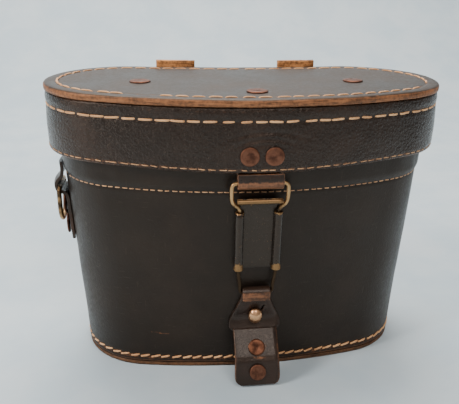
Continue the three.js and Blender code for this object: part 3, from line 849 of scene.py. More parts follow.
@dataclass(frozen=True)
class Fibre:
    """Thread, suede or felt: soft, matt and hairy."""

    name: str
    light: tuple[float, float, float]
    dark: tuple[float, float, float]
    fuzz: float = 0.5 * MM
    depth: float = 0.08 * MM
    soil: float = 18 * MM
    sheen: float = 0.3

    def material(self) -> bpy.types.Material:
        """Builds the node material.

        Returns:
            The material.
        """
        s = Shader(self.name)
        hair = s.noise(self.fuzz, 5, 0.7)
        dirt = s.noise(self.soil, 4, 0.6)
        share = s.sum("ADD", s.sum("MULTIPLY", hair, 0.5), s.sum("MULTIPLY", dirt, 0.5))
        colour = s.blend(s.ease(share, 0.36, 0.62), self.dark, self.light)
        rough = s.ease(hair, 0.3, 0.7, 0.75, 0.95)
        return s.finish(colour, rough, s.relief(hair, self.depth), Sheen_Weight=self.sheen)


class Finishes:
    """Every finish of the case, made once."""

    def __init__(self) -> None:
        """Builds the materials."""
        self.wall = Leather("WallLeather", scuffs=0.35).material()
        self.top = Leather(
            "LidTopLeather",
            dye=(0.022, 0.0140, 0.0095),
            faded=(0.044, 0.0280, 0.0190),
            raw=(0.24, 0.095, 0.038),
            grain_depth=0.035 * MM,
            gloss=0.38,
            dull=0.54,
            shine=0.5,
            scuffs=0.8,
        ).material()
        self.band = Leather(
            "LidBandLeather",
            dye=(0.0100, 0.0055, 0.0042),
            faded=(0.024, 0.0125, 0.0085),
            grain=1.25 * MM,
            grain_depth=0.22 * MM,
            crease_depth=0.10 * MM,
            gloss=0.20,
            dull=0.34,
            coat=0.12,
            shine=0.42,
            scuffs=0.3,
        ).material()
        self.strap = Leather(
            "StrapLeather",
            dye=(0.014, 0.0080, 0.0060),
            faded=(0.034, 0.0175, 0.0115),
            raw=(0.17, 0.068, 0.030),
            grain=0.7 * MM,
            crease_depth=0.06 * MM,
            gloss=0.26,
            dull=0.46,
            coat=0.25,
        ).material()
        self.hinge = Leather(
            "HingeLeather",
            dye=(0.05, 0.022, 0.010),
            faded=(0.11, 0.05, 0.021),
            raw=(0.50, 0.22, 0.08),
            gloss=0.42,
            dull=0.62,
        ).material()
        self.sole = Leather(
            "SoleLeather", dye=(0.03, 0.015, 0.009), faded=(0.06, 0.031, 0.018), raw=(0.10, 0.045, 0.02)
        ).material()
        self.copper = Metal(
            "RivetCopper", (0.20, 0.085, 0.052), (0.085, 0.038, 0.026), 0.38, 0.6
        ).material()
        self.rubbed = Metal(
            "RubbedCopper", (0.16, 0.066, 0.038), (0.055, 0.024, 0.016), 0.4, 0.6, 5 * MM
        ).material()
        self.stud = Metal("StudBrass", (0.66, 0.37, 0.20), (0.30, 0.14, 0.07), 0.24, 0.42).material()
        self.brass = Metal(
            "WornBrass", (0.50, 0.30, 0.14), (0.055, 0.034, 0.020), 0.26, 0.5, 5 * MM
        ).material()
        self.paint = ChippedPaint("ChippedEnamel").material()
        self.thread = Fibre(
            "LinenThread", (0.92, 0.53, 0.25), (0.52, 0.22, 0.08), 0.35 * MM, 0.05 * MM, 9 * MM
        ).material()
        self.fine_thread = Fibre(
            "FineThread", (0.74, 0.42, 0.21), (0.22, 0.095, 0.042), 0.3 * MM, 0.04 * MM, 7 * MM
        ).material()
        self.suede = Fibre("LiningSuede", (0.26, 0.17, 0.10), (0.14, 0.09, 0.055)).material()
        self.felt = Fibre(
            "PadFelt", (0.20, 0.03, 0.035), (0.10, 0.014, 0.018), 0.8 * MM, 0.2 * MM
        ).material()


# ------------------------------------------------------------------ placing pieces


@dataclass
class Workshop:
    """Turns shapes into pieces of the model."""

    finishes: Finishes

    def piece(
        self,
        name: str,
        shape: Shape,
        material: bpy.types.Material,
        slot: str | None,
        body: Body | None,
        nodes: Sequence[str] = (),
    ) -> bpy.types.Object:
        """Makes one piece.

        Args:
            name: The piece's name.
            shape: Its mesh.
            material: Its finish.
            slot: The record's slot that the finish stands for, or None for thread; not used.
            body: The body that it rides on, or None to leave it on no body.
            nodes: The CAD nodes that it replaces.

        Returns:
            The object.
        """
        mesh = bpy.data.meshes.new(name)
        mesh.from_pydata(shape.points.tolist(), [], shape.faces)
        for key, values in shape.paint.items():
            mesh.attributes.new(key, "FLOAT", "POINT").data.foreach_set("value", values.astype(np.float32))
        mesh.materials.append(material)
        mesh.polygons.foreach_set("use_smooth", [True] * len(mesh.polygons))
        mesh.validate()
        mesh.update()
        made = bpy.data.objects.new(name, mesh)
        bpy.context.scene.collection.objects.link(made)
        if body is not None:
            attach(made, body.value)
        if nodes:
            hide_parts(*nodes)
        log.info("%s: %d points", name, len(shape.points))
        return made


@dataclass(frozen=True)
class Seam:
    """A row of stitches along a closed line."""

    pitch: float
    length: float
    thread: float
    slant: float = 0.0
    rough_hand: float = 0.12
    seed: int = 1
    gaps: tuple[tuple[float, float], ...] = ()

    def shape(self, line: np.ndarray, normals: np.ndarray, closed: bool = True) -> Shape:
        """Sews the line.

        Args:
            line: Points along the seam, on the leather.
            normals: The leather's outward direction at each.
            closed: Whether the line ends where it starts.

        Returns:
            All the stitches as one shape.
        """
        rng = np.random.default_rng(self.seed)
        if closed:
            line, normals = np.vstack([line, line[:1]]), np.vstack([normals, normals[:1]])
        along = run_length(line)
        count = round(along[-1] / self.pitch)
        middle = (np.arange(count) + 0.5) * along[-1] / count
        keep = np.ones(count, bool)
        for low, high in self.gaps:
            keep &= ~((middle > low * along[-1]) & (middle < high * along[-1]))
        middle = middle[keep]
        n = len(middle)
        middle = middle + rng.normal(0, self.rough_hand * 0.35, n) * self.pitch
        half = self.length / 2 * (1 + rng.normal(0, self.rough_hand * 0.4, n))

        def on(distance: np.ndarray, what: np.ndarray) -> np.ndarray:
            """Vectors given along the line, read at distances along it."""
            wrapped = np.mod(distance, along[-1]) if closed else np.clip(distance, 0, along[-1])
            return np.stack([np.interp(wrapped, along, what[:, k]) for k in range(3)], axis=-1)

        rings, sides = 11, 8
        t = np.linspace(-1, 1, rings)
        centre = on(middle[:, None] + half[:, None] * t, line)
        up = unit(on(middle[:, None] + half[:, None] * t, normals))
        run = unit(on(middle + half, line) - on(middle - half, line))[:, None]
        across = unit(np.cross(up, run))
        tilt = (self.slant + rng.normal(0, self.rough_hand, n) * self.thread * 1.5)[:, None] * t
        arch = self.thread * (0.62 - 1.75 * np.abs(t) ** 5) * (1 + rng.normal(0, 0.08, n)[:, None])
        centre = centre + across * tilt[..., None] + up * arch[..., None]
        turn = np.linspace(0, 2 * math.pi, sides, endpoint=False)
        twist = 3.2 * math.pi * t[:, None] * self.length / (4 * MM)
        rope = 1 + 0.13 * np.cos(2 * (turn[None] - twist))
        body = (1 - 0.25 * np.abs(t) ** 4)[:, None] * rope * self.thread
        radial = across[:, :, None] * np.cos(turn)[None, None, :, None] * 1.12
        radial = radial + up[:, :, None] * np.sin(turn)[None, None, :, None] * 0.85
        points = centre[:, :, None] + radial * body[None, :, :, None]
        faces: list[tuple[int, ...]] = []
        for k in range(n):
            start = k * rings * sides
            for i in range(rings - 1):
                row = start + i * sides
                for j in range(sides):
                    nxt = (j + 1) % sides
                    faces.append((row + j, row + sides + j, row + sides + nxt, row + nxt))
            faces.append(tuple(start + j for j in range(sides)))
            last = start + (rings - 1) * sides
            faces.append(tuple(last + j for j in reversed(range(sides))))
        return Shape(points.reshape(-1, 3), faces).closed_up()


def dented_rivet(node: str, outward: Vector, seed: float, sunk: float = 0.0) -> Shape:
    """A flat hammered rivet where a CAD rivet is.

    Args:
        node: The CAD rivet.
        outward: About the direction that its head faces.
        seed: Makes its dents its own.
        sunk: How deep its head is pressed into the leather.

    Returns:
        The rivet: head, shank and burr.
    """
    points = np.array([v.co for v in frame["nodes"][node].data.vertices])
    depth = points @ np.array(outward.normalized())
    top = points[depth > depth.max() - 0.5 * MM]
    foot = points[depth < depth.min() + 0.5 * MM]
    axis = Vector(top.mean(axis=0) - foot.mean(axis=0)).normalized()
    along = points @ np.array(axis)
    head_top, burr_foot = along.max(), along.min()
    ends = points[along > head_top - 0.02 * MM].mean(axis=0)
    from_axis = points - ends - np.outer((points - ends) @ np.array(axis), np.array(axis))
    off = np.linalg.norm(from_axis, axis=1)
    head, burr = off.max(), off[along < burr_foot + 0.05 * MM].max()
    shank, rim = 1.25 * MM, 0.9 * MM
    length = head_top - burr_foot
    profile = [(0, -length), (burr * 0.8, -length), (burr, -length + 0.3 * MM), (burr, -length + 0.7 * MM)]
    profile += [(shank, -length + 0.7 * MM), (shank, -rim - 0.25 * MM), (head * 0.96, -rim - 0.25 * MM)]
    profile += [(head, -rim * 0.75), (head * 0.985, -rim * 0.38), (head * 0.93, -0.12 * MM)]
    profile += [(head * k, -0.02 * MM) for k in (0.8, 0.66, 0.52, 0.38, 0.26, 0.14)]
    shape = lathe([*profile, (0, 0)], 40)
    high = shape.points[:, 2] > -0.2 * MM
    coarse, fine = ripple(shape.points, 2.6 * MM, seed), ripple(shape.points, 0.9 * MM, seed)
    dents = coarse * 0.16 * MM + fine * 0.04 * MM
    shape.points[:, 2] += np.where(high, np.minimum(dents - 0.05 * MM, 0), 0)
    radius = np.linalg.norm(shape.points[:, :2], axis=1)
    wobble = 1 + 0.02 * ripple(shape.points * np.array([1, 1, 0]), 4 * MM, seed + 3)
    shape.points[:, :2] *= np.where(radius > head * 0.8, wobble, 1)[:, None]
    shape = shape.painted("wear", np.where(high, 0.5 * radius / head, 0.0))
    turn = axis.to_track_quat("Z", "Y").to_matrix().to_4x4()
    return shape.moved(Matrix.Translation(Vector(ends) - sunk * axis) @ turn)


# ------------------------------------------------------------------ the body


@dataclass
class CaseBody:
    """The tapered body with its sole, its throat and its lining."""

    shop: Workshop
    waist: float = 4 * MM
    foot_waist: float = 3 * MM
    thickness: float = 3.0
    throat_seam: float = 92.0
    throat_bulge: float = 0.8
    base_seam: float = 5.4
    scuff_place: tuple[float, float] = (-52, 19.4)
    scuff_slope: float = 0.10
    scuff_middle: float = -45
    scuff_reach: float = 11
    scuff_width: float = 0.85
    scuff_depth: float = 0.75

    def __post_init__(self) -> None:
        """Works out the wall from the CAD boxes."""
        low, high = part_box("body_wall")
        sole = Outline.of("base_plate", self.foot_waist)
        self.bottom, self.top = low.z / MM, high.z / MM
        self.wall = Wall(sole, Outline.of("body_wall", self.waist), 0.0, high.z)

    def swell(self, z: np.ndarray) -> np.ndarray:
        """How far the wall stands out of its straight line.

        Args:
            z: Heights in millimetres.

        Returns:
            The distance at each, in millimetres.
        """
        over_throat = self.throat_bulge * smooth(z, self.throat_seam - 0.4, self.throat_seam + 3.5)
        grooves = -0.30 * hump(z, self.throat_seam, 1.1) - 0.35 * hump(z, self.base_seam, 1.6)
        return over_throat + grooves + 0.25 * hump(z, self.bottom + 1.2, 2.5)

    def build_wall(self) -> None:
        """The wall: pressed leather, pinched at its seams and eased flat under the latch."""
        b, t, w = self.bottom, self.top, self.thickness
        outer = traced((0, b + 0.5), (0, t - 0.6), step=0.7 * MM)
        outer[:, 0] += self.swell(outer[:, 1] / MM) * MM
        lip = [(-0.5, t), (-1.5, t + 0.15), (-w + 0.5, t), (-w, t - 0.6)]
        inner = traced((-w, t - 0.6), (-w, b + 0.4), step=4 * MM)[1:]
        foot = [(-w + 0.5, b), (-0.6, b), (-0.15, b + 0.15)]
        profile = np.vstack([outer, np.array(lip) * MM, inner, np.array(foot) * MM])
        shape = sleeve(self.wall, profile)
        rows, count = len(profile), len(shape.points) // len(profile)
        points = shape.points.reshape(rows, count, 3)
        outward = self.wall.facing(0.05)[None]
        z = points[:, :, 2] / MM
        outside = (np.arange(rows) < len(outer))[:, None]
        soft = ripple(points, 38 * MM, 2) * 0.45 + ripple(points, 13 * MM, 5) * 0.14
        soft *= smooth(z, 8, 24) * smooth(z, self.throat_seam - 2, self.throat_seam - 14)
        ruck = 0.16 * ripple(points * np.array([1, 1, 0.35]), 5 * MM, 8)
        ruck *= smooth(z, self.throat_seam, self.throat_seam + 2)
        latch = smooth(np.abs(points[:, :, 0]) / MM, 17, 11) * (points[:, :, 1] < 0)
        pressed = -latch * self.throat_bulge * smooth(z, self.throat_seam - 0.4, self.throat_seam + 3.5)
        move = (np.minimum(soft, 0.25) * (1 - latch) + ruck * (1 - latch) + pressed) * outside * MM
        points += move[..., None] * outward
        edge = (1 - smooth(z, b + 0.3, b + 1.5)) * outside
        edge = np.maximum(edge, ~outside * 0.55)
        wear = 0.55 * hump(z, b + 2.5, 3.0) * outside
        x = points[:, :, 0] / MM
        scuff_x, scuff_z = self.scuff_place
        line = scuff_z - self.scuff_slope * (x - scuff_x)
        mark = hump(z, line, self.scuff_width) * hump(x, self.scuff_middle, self.scuff_reach)
        mark = mark * (points[:, :, 1] < 0)
        wear = np.maximum(wear, self.scuff_depth * mark * outside)
        shape = replace(shape, points=points.reshape(-1, 3)).painted("edge", edge.ravel())
        shape = shape.painted("wear", wear.ravel())
        self.shop.piece(
            "case_wall", shape, self.shop.finishes.wall, "case_leather", Body.CASE, ["body_wall"]
        )

    def build_sole(self) -> None:
        """The sole: a thick disc with a burnished edge, and the rim that the base seam goes through."""
        rim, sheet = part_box("base_plate")[1].z / MM, 2.2
        out = [(-9, 0), (-0.7, 0), (-0.2, 0.15), (0.12, 0.6), (0.15, 1.3), (-0.05, 1.9), (-0.4, sheet)]
        inner = [
            (-3.3, sheet),
            (-3.3, rim - 0.3),
            (-3.6, rim),
            (-5.2, rim),
            (-5.5, rim - 0.3),
            (-5.5, sheet),
            (-9, sheet),
        ]
        profile = np.array(out + inner) * MM
        shape = plate(self.wall, profile)
        z = shape.points[:, 2] / MM
        shape = shape.painted("edge", np.where((z > 0.05) & (z < 2.15), 0.9, 0.15))
        self.shop.piece("sole", shape, self.shop.finishes.sole, "sole_leather", Body.CASE, ["base_plate"])

    def build_inside(self) -> None:
        """The throat band, the lining and the pad in the base."""
        f = self.shop.finishes
        low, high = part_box("throat_band")
        a, b = low.z / MM, high.z / MM
        throat = [
            (-3.35, a),
            (-3.35, b - 1),
            (-3.7, b - 0.2),
            (-4.4, b),
            (-5.1, b - 0.2),
            (-5.5, b - 1),
            (-5.5, a),
        ]
        shape = sleeve(self.wall, traced(*throat, step=3 * MM)).painted("edge", 0.0)
        self.shop.piece("throat", shape, f.strap, "throat_leather", Body.CASE, ["throat_band"])
        low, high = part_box("body_lining")
        a, b = low.z / MM, high.z / MM
        lining = [(-3.35, a), (-3.35, b), (-4.3, b), (-4.3, a)]
        shape = sleeve(self.wall, traced(*lining, step=6 * MM))
        self.shop.piece("lining", shape, f.suede, "lining_suede", Body.CASE, ["body_lining"])
        low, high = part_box("base_pad")
        a, b = low.z / MM, high.z / MM
        pad = [
            (-12, a),
            (-6.4, a),
            (-5.9, a + 0.6),
            (-5.85, b - 1.3),
            (-6.6, b - 0.4),
            (-8.2, b - 0.1),
            (-12, b),
        ]
        shape = plate(self.wall, np.array(pad) * MM)
        made = self.shop.piece("base_felt", shape, f.felt, "felt", Body.CASE, ["base_pad"])

    def build_seams(self) -> None:
        """The fine seam round the throat and the slanted one round the base."""
        f = self.shop.finishes
        z = self.throat_seam * MM
        line = self.wall.at(self.swell(np.array(self.throat_seam)) * MM, z)[0]
        seam = Seam(3.25 * MM, 2.6 * MM, 0.23 * MM, seed=4, gaps=((0.93, 0.94), (0.42, 0.43)))
        shape = seam.shape(line, self.wall.facing(z))
        self.shop.piece("throat_seam", shape, f.fine_thread, None, Body.CASE)
        z = self.base_seam * MM
        line = self.wall.at(self.swell(np.array(self.base_seam)) * MM, z)[0]
        seam = Seam(5.05 * MM, 5.0 * MM, 0.47 * MM, slant=0.62 * MM, seed=9, rough_hand=0.12)
        shape = seam.shape(line, self.wall.facing(z))
        self.shop.piece("base_seam", shape, f.thread, None, Body.CASE)

    def build(self) -> None:
        """Builds the body."""
        self.build_wall()
        self.build_sole()
        self.build_inside()
        self.build_seams()


# ------------------------------------------------------------------ the lid


@dataclass
class Lid:
    """The lid: a flat top sewn to a grained band, with its lining, pad and rivets."""

    shop: Workshop
    waist: float = 4 * MM
    band_thickness: float = 2.8
    flange_reach: float = 11.0
    top_seam: float = 5.5
    upper_seam_drop: float = 5.8
    lower_seam_rise: float = 1.4
    sag: float = 1.6

    def __post_init__(self) -> None:
        """Works out the band's wall from its CAD box."""
        low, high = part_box("lid_band")
        outline = Outline.of("lid_band", self.waist)
        self.wall = Wall(outline, outline, low.z, high.z)
        self.bottom, self.top = low.z / MM, high.z / MM

    def build_band(self) -> None:
        """The band: shiny creased leather with a turned-in flange, drooping a little at its front."""
        b, t, w, reach = self.bottom, self.top, self.band_thickness, self.flange_reach
        upper, lower = t - self.upper_seam_drop, b + self.lower_seam_rise
        outer = traced((0, b + 0.7), (0, t - 0.5), step=0.55 * MM)
        z = outer[:, 1] / MM
        outer[:, 0] += (-0.35 * hump(z, upper, 1.5) - 0.22 * hump(z, lower, 0.9)) * MM
        outer[:, 0] += (0.35 * hump(z, (upper + lower) / 2, 11.0) + 0.2 * hump(z, t - 2.6, 2.4)) * MM
        rest = [(-0.5, t), (-reach, t), (-reach, t - w), (-w - 0.5, t - w), (-w, t - w - 0.5)]
        rest += [
            (-w, (b + t) / 2), (-w, b + 0.6), (-w + 0.4, b + 0.05), (-w / 2, b - 0.05), (-0.45, b + 0.1)
        ]
        profile = np.vstack([outer, np.array(rest) * MM])
        shape = sleeve(self.wall, profile)
        rows = len(profile)
        points = shape.points.reshape(rows, -1, 3)
        x, y, z = (points[:, :, k] / MM for k in range(3))
        outside = (np.arange(rows) < len(outer))[:, None]
        outward = self.wall.facing(self.wall.foot_z)[None]
        soft = 0.30 * ripple(points, 30 * MM, 11) + 0.10 * ripple(points, 7 * MM, 12)
        creases = self.creases(x, z) * (y < 0)
        calm = smooth(z, b + 0.5, b + 3) * smooth(z, t, t - 3)
        points += ((soft * calm + creases) * outside * MM)[..., None] * outward
        droop = self.sag * hump(x, 0, 75) * (y < 0) * smooth(z, t - 8, b)
        points[:, :, 2] -= droop * MM
        edge = np.maximum((1 - smooth(z + droop, b, b + 0.8)), ~outside * 0.6)
        wear = 0.5 * hump(z, lower, 2.2) * outside + 0.35 * hump(z, t - 1.5, 2) * outside
        shape = replace(shape, points=points.reshape(-1, 3))
        shape = shape.painted("edge", edge.ravel()).painted("wear", wear.ravel())
        self.shop.piece("band", shape, self.shop.finishes.band, "lid_band_leather", Body.LID, ["lid_band"])

    def creases(self, x: np.ndarray, z: np.ndarray) -> np.ndarray:
        """The pulled creases that arch over the two front rivets.

        Args:
            x: The places' x in millimetres.
            z: Their heights in millimetres.

        Returns:
            The relief at each, in millimetres.
        """
        middle, rivets = 2.0, self.bottom + 4
        total = np.zeros_like(x)
        for rise, width, depth in ((9.5, 19, 0.65), (12.2, 26, 0.5), (7.4, 13, 0.45)):
            arch = rivets + rise * (1 - ((x - middle) / width) ** 2 * 0.55)
            total -= depth * hump(z, arch, 1.3) * hump(x, middle, width)
        return total

    def build_top(self) -> None:
        """The top: a thick plate with a burnished edge and a channel for its stitches."""
        low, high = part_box("lid_top")
        a, b = low.z / MM, high.z / MM
        lip = 0.6
        under = [(-12, a), (lip - 0.6, a), (lip - 0.1, a + 0.25), (lip, a + 0.8)]
        rim = [(lip + 0.05, (a + b) / 2), (lip - 0.05, b - 0.8), (lip - 0.35, b - 0.25), (lip - 1.0, b)]
        seam = -self.top_seam
        face = [(-2.5, b), (seam + 1.2, b), (seam + 0.6, b - 0.12), (seam, b - 0.3), (seam - 0.6, b - 0.12)]
        face += [(seam - 1.2, b), (-9, b), (-12, b)]
        shape = plate(self.wall, np.array(under + rim + face) * MM, rungs=36)
        z = shape.points[:, 2] / MM
        upper = smooth(z, (a + b) / 2, b - 0.2)
        wave = 0.30 * ripple(shape.points, 34 * MM, 21) + 0.08 * ripple(shape.points, 9 * MM, 22) - 0.15
        shape.points[:, 2] += np.minimum(wave, 0.1) * upper * MM
        edge = 1 - smooth(z, b - 0.55, b - 0.05)
        shape = shape.painted("edge", edge)
        rim_wear = 0.45 * hump(z, b - 0.2, 0.5)
        shape = shape.painted("wear", rim_wear)
        self.shop.piece("top", shape, self.shop.finishes.top, "lid_top_leather", Body.LID, ["lid_top"])

    def build_inside(self) -> None:
        """The lining disc and the felt pad that the three top rivets hold."""
        f = self.shop.finishes
        low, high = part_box("lid_lining")
        a, b = low.z / MM, high.z / MM
        edge = -self.flange_reach - 0.3
        disc = [(-16, a), (edge - 0.2, a), (edge, a + 0.3), (edge, b), (-16, b)]
        shape = plate(self.wall, np.array(disc) * MM)
        self.shop.piece("lid_lining_disc", shape, f.suede, "lining_suede", Body.LID, ["lid_lining"])
        low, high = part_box("lid_pad")
        a, b = low.z / MM, high.z / MM
        edge = -self.flange_reach - 1.3
        pad = [
            (-19, a),
            (edge - 3, a + 0.1),
            (edge - 1, a + 0.6),
            (edge, a + 1.8),
            (edge, b - 0.3),
            (edge - 0.4, b),
            (-19, b),
        ]
        shape = plate(self.wall, np.array(pad) * MM)
        made = self.shop.piece("lid_felt", shape, f.felt, "felt", Body.LID, ["lid_pad"])

    def build_seams(self) -> None:
        """The seams on the lid's top and along both edges of its band."""
        f = self.shop.finishes
        top_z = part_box("lid_top")[1].z
        line = self.wall.at(-self.top_seam * MM, top_z - 0.3 * MM)[0]
        up = np.broadcast_to(np.array([0.0, 0.0, 1.0]), line.shape)
        gaps = ((0.030, 0.058), (0.362, 0.392))
        seam = Seam(6.9 * MM, 6.3 * MM, 0.42 * MM, seed=3, gaps=gaps)
        self.shop.piece("top_seam", seam.shape(line, up), f.thread, None, Body.LID)
        z = self.top - self.upper_seam_drop
        line = self.wall.at(-0.3 * MM, z * MM)[0]
        line[:, 2] -= self.droop_at(line, z)
        seam = Seam(6.9 * MM, 6.4 * MM, 0.39 * MM, seed=5, rough_hand=0.2)
        shape = seam.shape(line, self.wall.facing(z * MM))
        self.shop.piece("upper_band_seam", shape, f.thread, None, Body.LID)
        z = self.bottom + self.lower_seam_rise
        line = self.wall.at(-0.15 * MM, z * MM)[0]
        line[:, 2] -= self.droop_at(line, z)
        seam = Seam(4.2 * MM, 3.2 * MM, 0.22 * MM, seed=6, rough_hand=0.3)
        shape = seam.shape(line, self.wall.facing(z * MM))
        self.shop.piece("lower_band_seam", shape, f.fine_thread, None, Body.LID)

    def droop_at(self, line: np.ndarray, z: float) -> np.ndarray:
        """How far the drooping front lowers a line.

        Args:
            line: The line's points, in metres.
            z: Its height in millimetres.

        Returns:
            The drop at each point, in metres.
        """
        share = smooth(np.array(z), self.top - 8, self.bottom)
        return self.sag * MM * hump(line[:, 0] / MM, 0, 75) * (line[:, 1] < 0) * share

    def build_rivets(self) -> None:
        """The three top rivets and the two at the front."""
        f = self.shop.finishes
        for k, side in enumerate(("left", "middle", "right")):
            node = f"lid_top_rivet_{side}"
            shape = dented_rivet(node, Vector((0, 0, 1)), 1.7 * k, 0.55 * MM)
            self.shop.piece(f"top_rivet_{side}", shape, f.copper, "rivet_copper", Body.LID, [node])
        for k, side in enumerate(SIDES):
            node = f"lid_front_rivet_{side}"
            shape = dented_rivet(node, Vector((0, -1, 0)), 9 + 2.3 * k)
            self.shop.piece(f"front_rivet_{side}", shape, f.copper, "rivet_copper", Body.LID, [node])

    def build_tab(self) -> None:
        """The tab that comes from inside the lid and folds round the hasp's wire."""
        low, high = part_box("lid_tab")
        bar = JOINTS["hasp_hinge"]
        thickness, wire_gap = 1.5 * MM, 1.85 * MM
        back = high.y - thickness / 2
        turns = [math.radians(a) for a in (0, -30, -60, -90, -120, -150, -180)]
        fold = [(0, bar.y + wire_gap * math.cos(a), bar.z + wire_gap * math.sin(a)) for a in turns]
        above = [(0, back, high.z - 0.3 * MM), (0, back, bar.z + 6 * MM), (0, back, bar.z + 2 * MM)]
        tip = [(0, bar.y - wire_gap, bar.z + 2 * MM), (0, bar.y - wire_gap + 0.25 * MM, bar.z + 4.2 * MM)]
        path = flowing([*above, *fold, *tip], 0.4 * MM)
        shape = strip(path, (1, 0, 0), high.x - low.x, thickness, 0.45 * MM)
        z = shape.points[:, 2]
        front = (shape.points[:, 1] < bar.y) * 1.0
        wear = 1.1 * hump(z, bar.z - 1.2 * MM, 3.0 * MM) * front + 0.34 * front
        shape = shape.painted("wear", wear)
        shape.points[:, 1] += 0.10 * MM * ripple(shape.points, 4 * MM, 31)
        self.shop.piece("tab", shape, self.shop.finishes.strap, "tab_leather", Body.LID, ["lid_tab"])

    def build(self) -> None:
        """Builds the lid."""
        self.build_band()
        self.build_top()
        self.build_inside()
        self.build_seams()
        self.build_rivets()
        self.build_tab()


# ------------------------------------------------------------------ hinge straps and chapes


@dataclass
class HingeStraps:
    """Two straps riveted down the back, which bend where the lid turns."""

    shop: Workshop
    body: CaseBody
    thickness: float = 2.2 * MM
    width: float = 20 * MM
    spread: float = 32 * MM

    def build(self) -> None:
        """Builds both straps and their rivets."""
        f = self.shop.finishes
        axis = JOINTS["lid_hinge"]
        ring = self.body.wall.at(0, 0.08)[0]
        behind = ring[(ring[:, 1] > 0) & (np.abs(ring[:, 0]) < 50 * MM)]
        for side, sign in SIDES.items():
            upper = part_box(f"hinge_strap_upper_{side}")
            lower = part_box(f"hinge_strap_lower_{side}")
            near = behind[np.argsort(np.abs(behind[:, 0] - sign * self.spread))[:8]]
            slope = float(np.polyfit(near[:, 0], near[:, 1], 1)[0])
            across = Vector((1, slope, 0)).normalized()
            face = Vector((-slope, 1, 0)).normalized()
            low_z, bow_z = lower[0].z, axis.z - 12 * MM

            def wall_y(z: float) -> float:
                """The y of the wall's back behind this strap.

                Args:
                    z: The height.

                Returns:
                    The y there, in metres.
                """
                line = self.body.wall.at(0, z)[0]
                rear = line[line[:, 1] > 0]
                order = np.argsort(rear[:, 0])
                return float(np.interp(sign * self.spread, rear[order, 0], rear[order, 1]))

            half = self.thickness / 2
            flat = half + 0.15 * MM
            points = [
                (axis.y, upper[1].z - 0.3 * MM), (axis.y, axis.z + 16 * MM), (axis.y, axis.z + 4 * MM)
            ]
            points += [(axis.y + 0.2 * MM, axis.z - 0.5 * MM), (axis.y - 1.0 * MM, axis.z - 4 * MM)]
            points += [
                ((axis.y + wall_y(bow_z) + flat) / 2, axis.z - 8 * MM), (wall_y(bow_z) + flat, bow_z)
            ]
            points += [(wall_y(z) + flat, z) for z in (0.085, 0.078, low_z + 0.3 * MM)]
            path = flowing([(0, y, z) for y, z in points], 0.8 * MM)
            path[:, 0] += sign * self.spread
            widths = np.full(len(path), self.width)
            ends = run_length(path)
            widths -= 2.2 * MM * smooth(ends, ends[-1] - 3 * MM, ends[-1]) ** 2
            shape = strip(path, across, widths, self.thickness, 0.5 * MM)
            z = shape.points[:, 2]
            top = smooth(z, upper[1].z - 1.2 * MM, upper[1].z - 0.3 * MM)
            ragged = ripple(shape.points * np.array([1, 1, 0]), 2.6 * MM, 45 + sign)
            shape.points[:, 2] += 0.4 * MM * np.minimum(ragged, 0.2) * top
            inner = 1 - shape.paint["face"]
            above = smooth(z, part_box("lid_top")[1].z - 3 * MM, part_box("lid_top")[1].z)
            wear = np.maximum(above, top) + 0.4 * hump(z, axis.z, 5 * MM)
            wear = np.maximum(wear, 0.6 * inner)
            shape = shape.painted("wear", wear)
            soft = 0.25 * MM * ripple(shape.points, 11 * MM, 40 + sign)
            shape.points += soft[:, None] * np.array(face) * smooth(z, 0.06, 0.07)[:, None] * 0.5
            name = f"hinge_strap_{side}"
            nodes = [f"hinge_strap_upper_{side}", f"hinge_strap_lower_{side}"]
            made = self.shop.piece(name, shape, f.hinge, "hinge_leather", None, nodes)
            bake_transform(made)
            places = (("upper", Body.LID), ("middle", Body.CASE), ("lower", Body.CASE))
            for k, (place, on) in enumerate(places):
                node = f"hinge_rivet_{side}_{place}"
                rivet = dented_rivet(node, Vector((0, 1, 0)), 20 + 3 * k + sign)
                self.shop.piece(f"hinge_copper_{side}_{place}", rivet, f.copper, "rivet_copper", on, [node])


